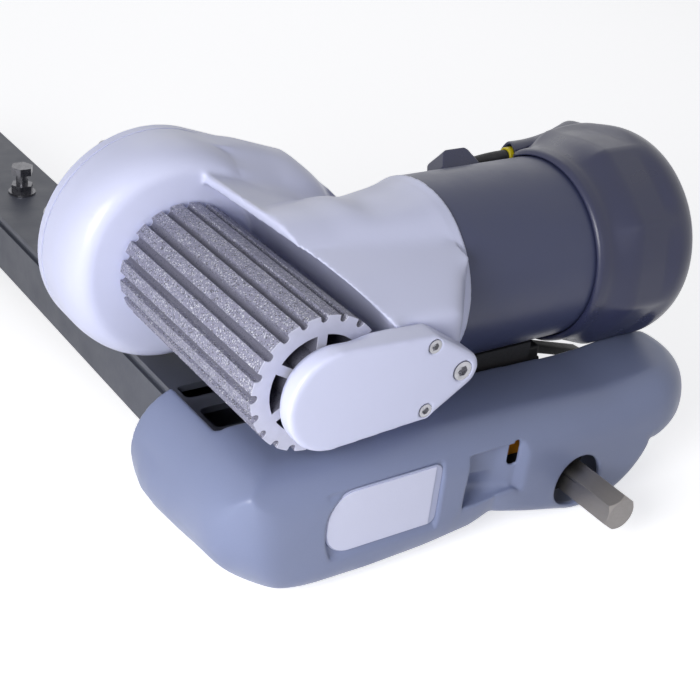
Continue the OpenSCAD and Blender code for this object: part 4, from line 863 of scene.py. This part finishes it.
for cutter in cutters:
    bpy.data.objects.remove(cutter)
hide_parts("cross_bar")
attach(bar, "base")
print("stage: ring, bracket and bar made")


# Materials: nodes on object coordinates, so that each finish stays with its piece
class Finish:
    def __init__(self, name, rough=0.4, metal=0.0, coat=0.0, specular=0.5, coatRough=0.25):
        self.material = bpy.data.materials.new(name)
        self.material.use_nodes = True
        self.tree = self.material.node_tree
        self.shader = self.tree.nodes["Principled BSDF"]
        self.shader.inputs["Roughness"].default_value = rough
        self.shader.inputs["Metallic"].default_value = metal
        self.shader.inputs["Coat Weight"].default_value = coat
        self.shader.inputs["Coat Roughness"].default_value = coatRough
        self.shader.inputs["Specular IOR Level"].default_value = specular
        self.where = self.tree.nodes.new("ShaderNodeTexCoord").outputs["Object"]

    def join(self, output, target):
        self.tree.links.new(output, target)

    def stretched(self, scale):
        mapping = self.tree.nodes.new("ShaderNodeMapping")
        mapping.inputs["Scale"].default_value = scale
        self.join(self.where, mapping.inputs["Vector"])
        return mapping.outputs["Vector"]

    def noise(self, scale, detail=3.0, source=None):
        node = self.tree.nodes.new("ShaderNodeTexNoise")
        node.inputs["Scale"].default_value = scale
        node.inputs["Detail"].default_value = detail
        self.join(source or self.where, node.inputs["Vector"])
        return node.outputs["Fac"]

    def cells(self, scale, output="Color"):
        node = self.tree.nodes.new("ShaderNodeTexVoronoi")
        node.inputs["Scale"].default_value = scale
        self.join(self.where, node.inputs["Vector"])
        return node.outputs[output]

    def ranged(self, value, low, high, outLow=0.0, outHigh=1.0):
        node = self.tree.nodes.new("ShaderNodeMapRange")
        node.inputs["From Min"].default_value = low
        node.inputs["From Max"].default_value = high
        node.inputs["To Min"].default_value = outLow
        node.inputs["To Max"].default_value = outHigh
        self.join(value, node.inputs["Value"])
        return node.outputs["Result"]

    def mixed(self, factor, first, second):
        node = self.tree.nodes.new("ShaderNodeMix")
        node.data_type = "RGBA"
        self.join(factor, node.inputs["Factor"])
        for socket, value in (("A", first), ("B", second)):
            if isinstance(value, tuple):
                node.inputs[socket].default_value = (*value, 1)
            else:
                self.join(value, node.inputs[socket])
        return node.outputs["Result"]

    def product(self, first, second):
        node = self.tree.nodes.new("ShaderNodeMath")
        node.operation = "MULTIPLY"
        self.join(first, node.inputs[0])
        self.join(second, node.inputs[1])
        return node.outputs["Value"]

    def colour(self, output):
        self.join(output, self.shader.inputs["Base Color"])

    def rough(self, output):
        self.join(output, self.shader.inputs["Roughness"])

    def sheen(self, value, rough, values):
        low, high = values["sheen"]
        self.rough(self.ranged(value, *values["sheenRange"], rough + low, rough + high))

    def relief(self, height, depth):
        node = self.tree.nodes.new("ShaderNodeBump")
        node.inputs["Strength"].default_value = 1.0
        node.inputs["Distance"].default_value = depth
        self.join(height, node.inputs["Height"])
        self.join(node.outputs["Normal"], self.shader.inputs["Normal"])


def shade(colour, factor):
    return tuple(min(1.0, channel * factor) for channel in colour)


# Two shades of one colour
def shades(colour, low, high):
    return shade(colour, low), shade(colour, high)


# Satin paint: faint orange peel, slight drift of colour, small dust specks
paintValues = {
    "driftScale": 14.0,
    "speckScale": 1500.0,
    "speckRange": (0.66, 0.72),
    "speckShade": 0.35,
    "sheenScale": 60.0,
    "sheenRange": (0.3, 0.7),
    "sheen": (-0.06, 0.06),
    "peelScale": 420.0,
}


def satinPaint(name, colour, rough, peel=0.00004, drift=0.05, specks=0.10, coat=0.0):
    v = paintValues
    finish = Finish(name, rough, coat=coat)
    drifted = finish.mixed(finish.noise(v["driftScale"], 4), *shades(colour, 1 - drift, 1 + drift))
    dots = finish.ranged(finish.noise(v["speckScale"], 2), *v["speckRange"])
    share = finish.ranged(dots, 0, 1, 0, specks)
    finish.colour(finish.mixed(share, drifted, shade(colour, v["speckShade"])))
    finish.sheen(finish.noise(v["sheenScale"], 5), rough, v)
    finish.relief(finish.noise(v["peelScale"], 2), peel)
    return finish.material


# Moulded plastic: spark-eroded grain and cloudy sheen
plasticValues = {
    "driftScale": 18.0,
    "grainScale": 2600.0,
    "grainRange": (0.35, 0.65),
    "grainShare": 0.12,
    "grainShade": 0.7,
    "sheenScale": 45.0,
    "sheenRange": (0.3, 0.7),
    "sheen": (-0.07, 0.07),
}


def mouldedPlastic(name, colour, rough, grain=0.00003, drift=0.06):
    v = plasticValues
    finish = Finish(name, rough)
    drifted = finish.mixed(finish.noise(v["driftScale"], 5), *shades(colour, 1 - drift, 1 + drift))
    fine = finish.noise(v["grainScale"], 2)
    share = finish.ranged(fine, *v["grainRange"], 0, v["grainShare"])
    finish.colour(finish.mixed(share, drifted, shade(colour, v["grainShade"])))
    finish.sheen(finish.noise(v["sheenScale"], 4), rough, v)
    finish.relief(fine, grain)
    return finish.material


# Metal with fine lines drawn along one axis
metalValues = {
    "cloudScale": 70.0,
    "cloud": (0.82, 1.12),
    "sheenRange": (0.25, 0.75),
    "sheen": (-0.09, 0.12),
}


def drawnMetal(name, colour, rough, lines=(900.0, 30.0, 900.0), depth=0.00002, metal=1.0):
    v = metalValues
    finish = Finish(name, rough, metal)
    streak = finish.noise(1.0, 4, finish.stretched(lines))
    finish.colour(finish.mixed(finish.noise(v["cloudScale"], 4), *shades(colour, *v["cloud"])))
    finish.sheen(streak, rough, v)
    finish.relief(streak, depth)
    return finish.material


# Plated fastener: crystals of the plating in small patches
platingValues = {
    "patchScale": 420.0,
    "patchRange": (0.1, 0.9),
    "patch": (0.86, 1.12),
    "sheenScale": 300.0,
    "sheenRange": (0.3, 0.7),
    "sheen": (-0.08, 0.1),
    "grainScale": 900.0,
}


def platedMetal(name, colour, rough, depth=0.00002):
    v = platingValues
    finish = Finish(name, rough, 1.0)
    patch = finish.ranged(finish.cells(v["patchScale"]), *v["patchRange"])
    finish.colour(finish.mixed(patch, *shades(colour, *v["patch"])))
    finish.sheen(finish.noise(v["sheenScale"], 4), rough, v)
    finish.relief(finish.noise(v["grainScale"], 3), depth)
    return finish.material


# Rubber: dull, with fine pores and a little bloom
rubberValues = {
    "specular": 0.35,
    "bloomScale": 120.0,
    "bloomRange": (0.45, 0.75),
    "bloom": (0.85, 1.7),
    "sheenScale": 500.0,
    "sheenRange": (0.3, 0.7),
    "sheen": (-0.08, 0.1),
    "poreScale": 1400.0,
}


def dullRubber(name, colour, rough, pores=0.00004):
    v = rubberValues
    finish = Finish(name, rough, specular=v["specular"])
    bloom = finish.ranged(finish.noise(v["bloomScale"], 5), *v["bloomRange"])
    finish.colour(finish.mixed(bloom, *shades(colour, *v["bloom"])))
    finish.sheen(finish.noise(v["sheenScale"], 3), rough, v)
    finish.relief(finish.noise(v["poreScale"], 3), pores)
    return finish.material


# Grit-coated roller: grains by cells, some of them bright, grooves darkened with painted shade, bare metal
# at the two ends
gritValues = {
    "grainScale": 1800.0,
    "grainDepth": 0.0003,
    "grey": (0.25, 0.25, 0.345),
    "greyDrift": (0.85, 1.15),
    "dark": (0.10, 0.10, 0.13),
    "darkRange": (0.80, 0.86),
    "bright": (0.66, 0.67, 0.74),
    "brightRange": (0.88, 0.93),
    "grainRough": 0.55,
    "brightRough": 0.2,
    # Radius band of the grooves between the ribs, darkened there as painted shade
    "grooveRange": (0.0318, 0.0338),
    "paintedGrooveShade": 0.5,
    "endRange": (0.0648, 0.0654),
    "metal": (0.56, 0.57, 0.70),
    "metalDrift": (0.88, 1.08),
    "metalScale": 160.0,
    "endMetallic": 0.25,
    "endRelief": 0.06,
}


def gritCoat(name, rough):
    v = gritValues
    finish = Finish(name, rough)
    tree = finish.tree
    grainHeight = finish.cells(v["grainScale"], "Distance")
    chance = tree.nodes.new("ShaderNodeSeparateColor")
    finish.join(finish.cells(v["grainScale"]), chance.inputs["Color"])
    bright = finish.ranged(chance.outputs["Red"], *v["brightRange"])
    dark = finish.ranged(chance.outputs["Green"], *v["darkRange"])
    base = finish.mixed(chance.outputs["Blue"], *shades(v["grey"], *v["greyDrift"]))
    base = finish.mixed(dark, base, v["dark"])
    base = finish.mixed(bright, base, v["bright"])
    split = tree.nodes.new("ShaderNodeSeparateXYZ")
    finish.join(finish.where, split.inputs["Vector"])
    flat = tree.nodes.new("ShaderNodeCombineXYZ")
    finish.join(split.outputs["X"], flat.inputs["X"])
    finish.join(split.outputs["Z"], flat.inputs["Y"])
    radius = tree.nodes.new("ShaderNodeVectorMath")
    radius.operation = "LENGTH"
    finish.join(flat.outputs["Vector"], radius.inputs[0])
    groove = finish.ranged(radius.outputs["Value"], *v["grooveRange"])
    # Painted shade: the grooves take half the grit's grey, standing in for the shade that falls in them
    base = finish.mixed(groove, shade(v["grey"], v["paintedGrooveShade"]), base)
    side = tree.nodes.new("ShaderNodeMath")
    side.operation = "ABSOLUTE"
    finish.join(split.outputs["Y"], side.inputs[0])
    bare = finish.ranged(side.outputs["Value"], *v["endRange"])
    bareColour = finish.mixed(finish.noise(v["metalScale"], 5), *shades(v["metal"], *v["metalDrift"]))
    finish.colour(finish.mixed(bare, base, bareColour))
    shiny = finish.product(bright, finish.ranged(bare, 0, 1, 1.0, 0.0))
    finish.rough(finish.ranged(shiny, 0, 1, v["grainRough"], v["brightRough"]))
    finish.join(finish.ranged(bare, 0, 1, 0.0, v["endMetallic"]), finish.shader.inputs["Metallic"])
    height = finish.product(grainHeight, finish.ranged(bare, 0, 1, 1.0, v["endRelief"]))
    finish.relief(height, v["grainDepth"])
    return finish.material


slotLooks = {
    "bar_paint": satinPaint("barPaint", (0.062, 0.068, 0.092), 0.48, peel=0.00006),
    "cowl": mouldedPlastic("cowlPlastic", (0.205, 0.24, 0.385), 0.4),
    "casting": satinPaint("castingPaint", (0.62, 0.645, 0.85), 0.36, drift=0.02, specks=0.04, coat=0.1),
    "grit": gritCoat("rollerGrit", 0.5),
    "steel": drawnMetal("barSteel", (0.27, 0.255, 0.25), 0.36),
    "zinc": platedMetal("zincPlate", (0.46, 0.46, 0.49), 0.3),
    "black_steel": drawnMetal("blackSteel", (0.012, 0.012, 0.015), 0.6, metal=0.0),
    "bronze": drawnMetal("bronze", (0.45, 0.3, 0.12), 0.35),
    "motor_paint": satinPaint("motorPaint", (0.045, 0.053, 0.115), 0.36, drift=0.04, specks=0.05),
    "cap_plastic": mouldedPlastic("capPlastic", (0.030, 0.034, 0.082), 0.32),
    "alloy": platedMetal("dieAlloy", (0.5, 0.5, 0.52), 0.45),
    "black_rubber": dullRubber("blackRubber", (0.02, 0.02, 0.023), 0.55),
    "flag_orange": mouldedPlastic("flagOrange", (0.62, 0.24, 0.01), 0.35),
    "ring_yellow": mouldedPlastic("ringYellow", (0.70, 0.57, 0.01), 0.35),
    "label_white": satinPaint("labelWhite", (0.66, 0.68, 0.86), 0.4, peel=0.00002, drift=0.03),
    # Painted highlight: the label's border is lighter than the cowl, standing in for light on the recess's
    # bevel
    "label_border": satinPaint("labelBorderPaintedHighlight", (0.42, 0.45, 0.63), 0.4, peel=0.00002, drift=0.03),
    "dark_bolt": platedMetal("darkBolt", (0.15, 0.15, 0.165), 0.28),
    "magnet": dullRubber("ferrite", (0.03, 0.03, 0.03), 0.6),
    "phenolic": mouldedPlastic("phenolic", (0.2, 0.1, 0.04), 0.5),
    "carbon": dullRubber("carbon", (0.02, 0.02, 0.02), 0.65),
    "copper": drawnMetal("copper", (0.6, 0.25, 0.1), 0.35, lines=(60.0, 900.0, 900.0)),
}
nodeSlots = {part["node"]: part["material_slot"] for part in frame["record"]["subparts"]}
nodeSlots.update(bar_bolt="dark_bolt", bar_nut="dark_bolt")
dressed = [(piece, nodeSlots[name]) for name, piece in cadNodes.items()]
dressed += [
    (casing, "casting"),
    (cowl, "cowl"),
    (arm, "casting"),
    (clip, "cap_plastic"),
    (cap, "cap_plastic"),
    (cable, "black_rubber"),
    (ring, "ring_yellow"),
    (bar, "bar_paint"),
    (labelBed, "label_border"),
    (stopBlock, "black_steel"),
    (stopLeg, "black_steel"),
    (stopStrut, "black_steel"),
]
for piece, slotName in dressed:
    piece.data.materials.clear()
    piece.data.materials.append(slotLooks[slotName])
print("stage: materials set")
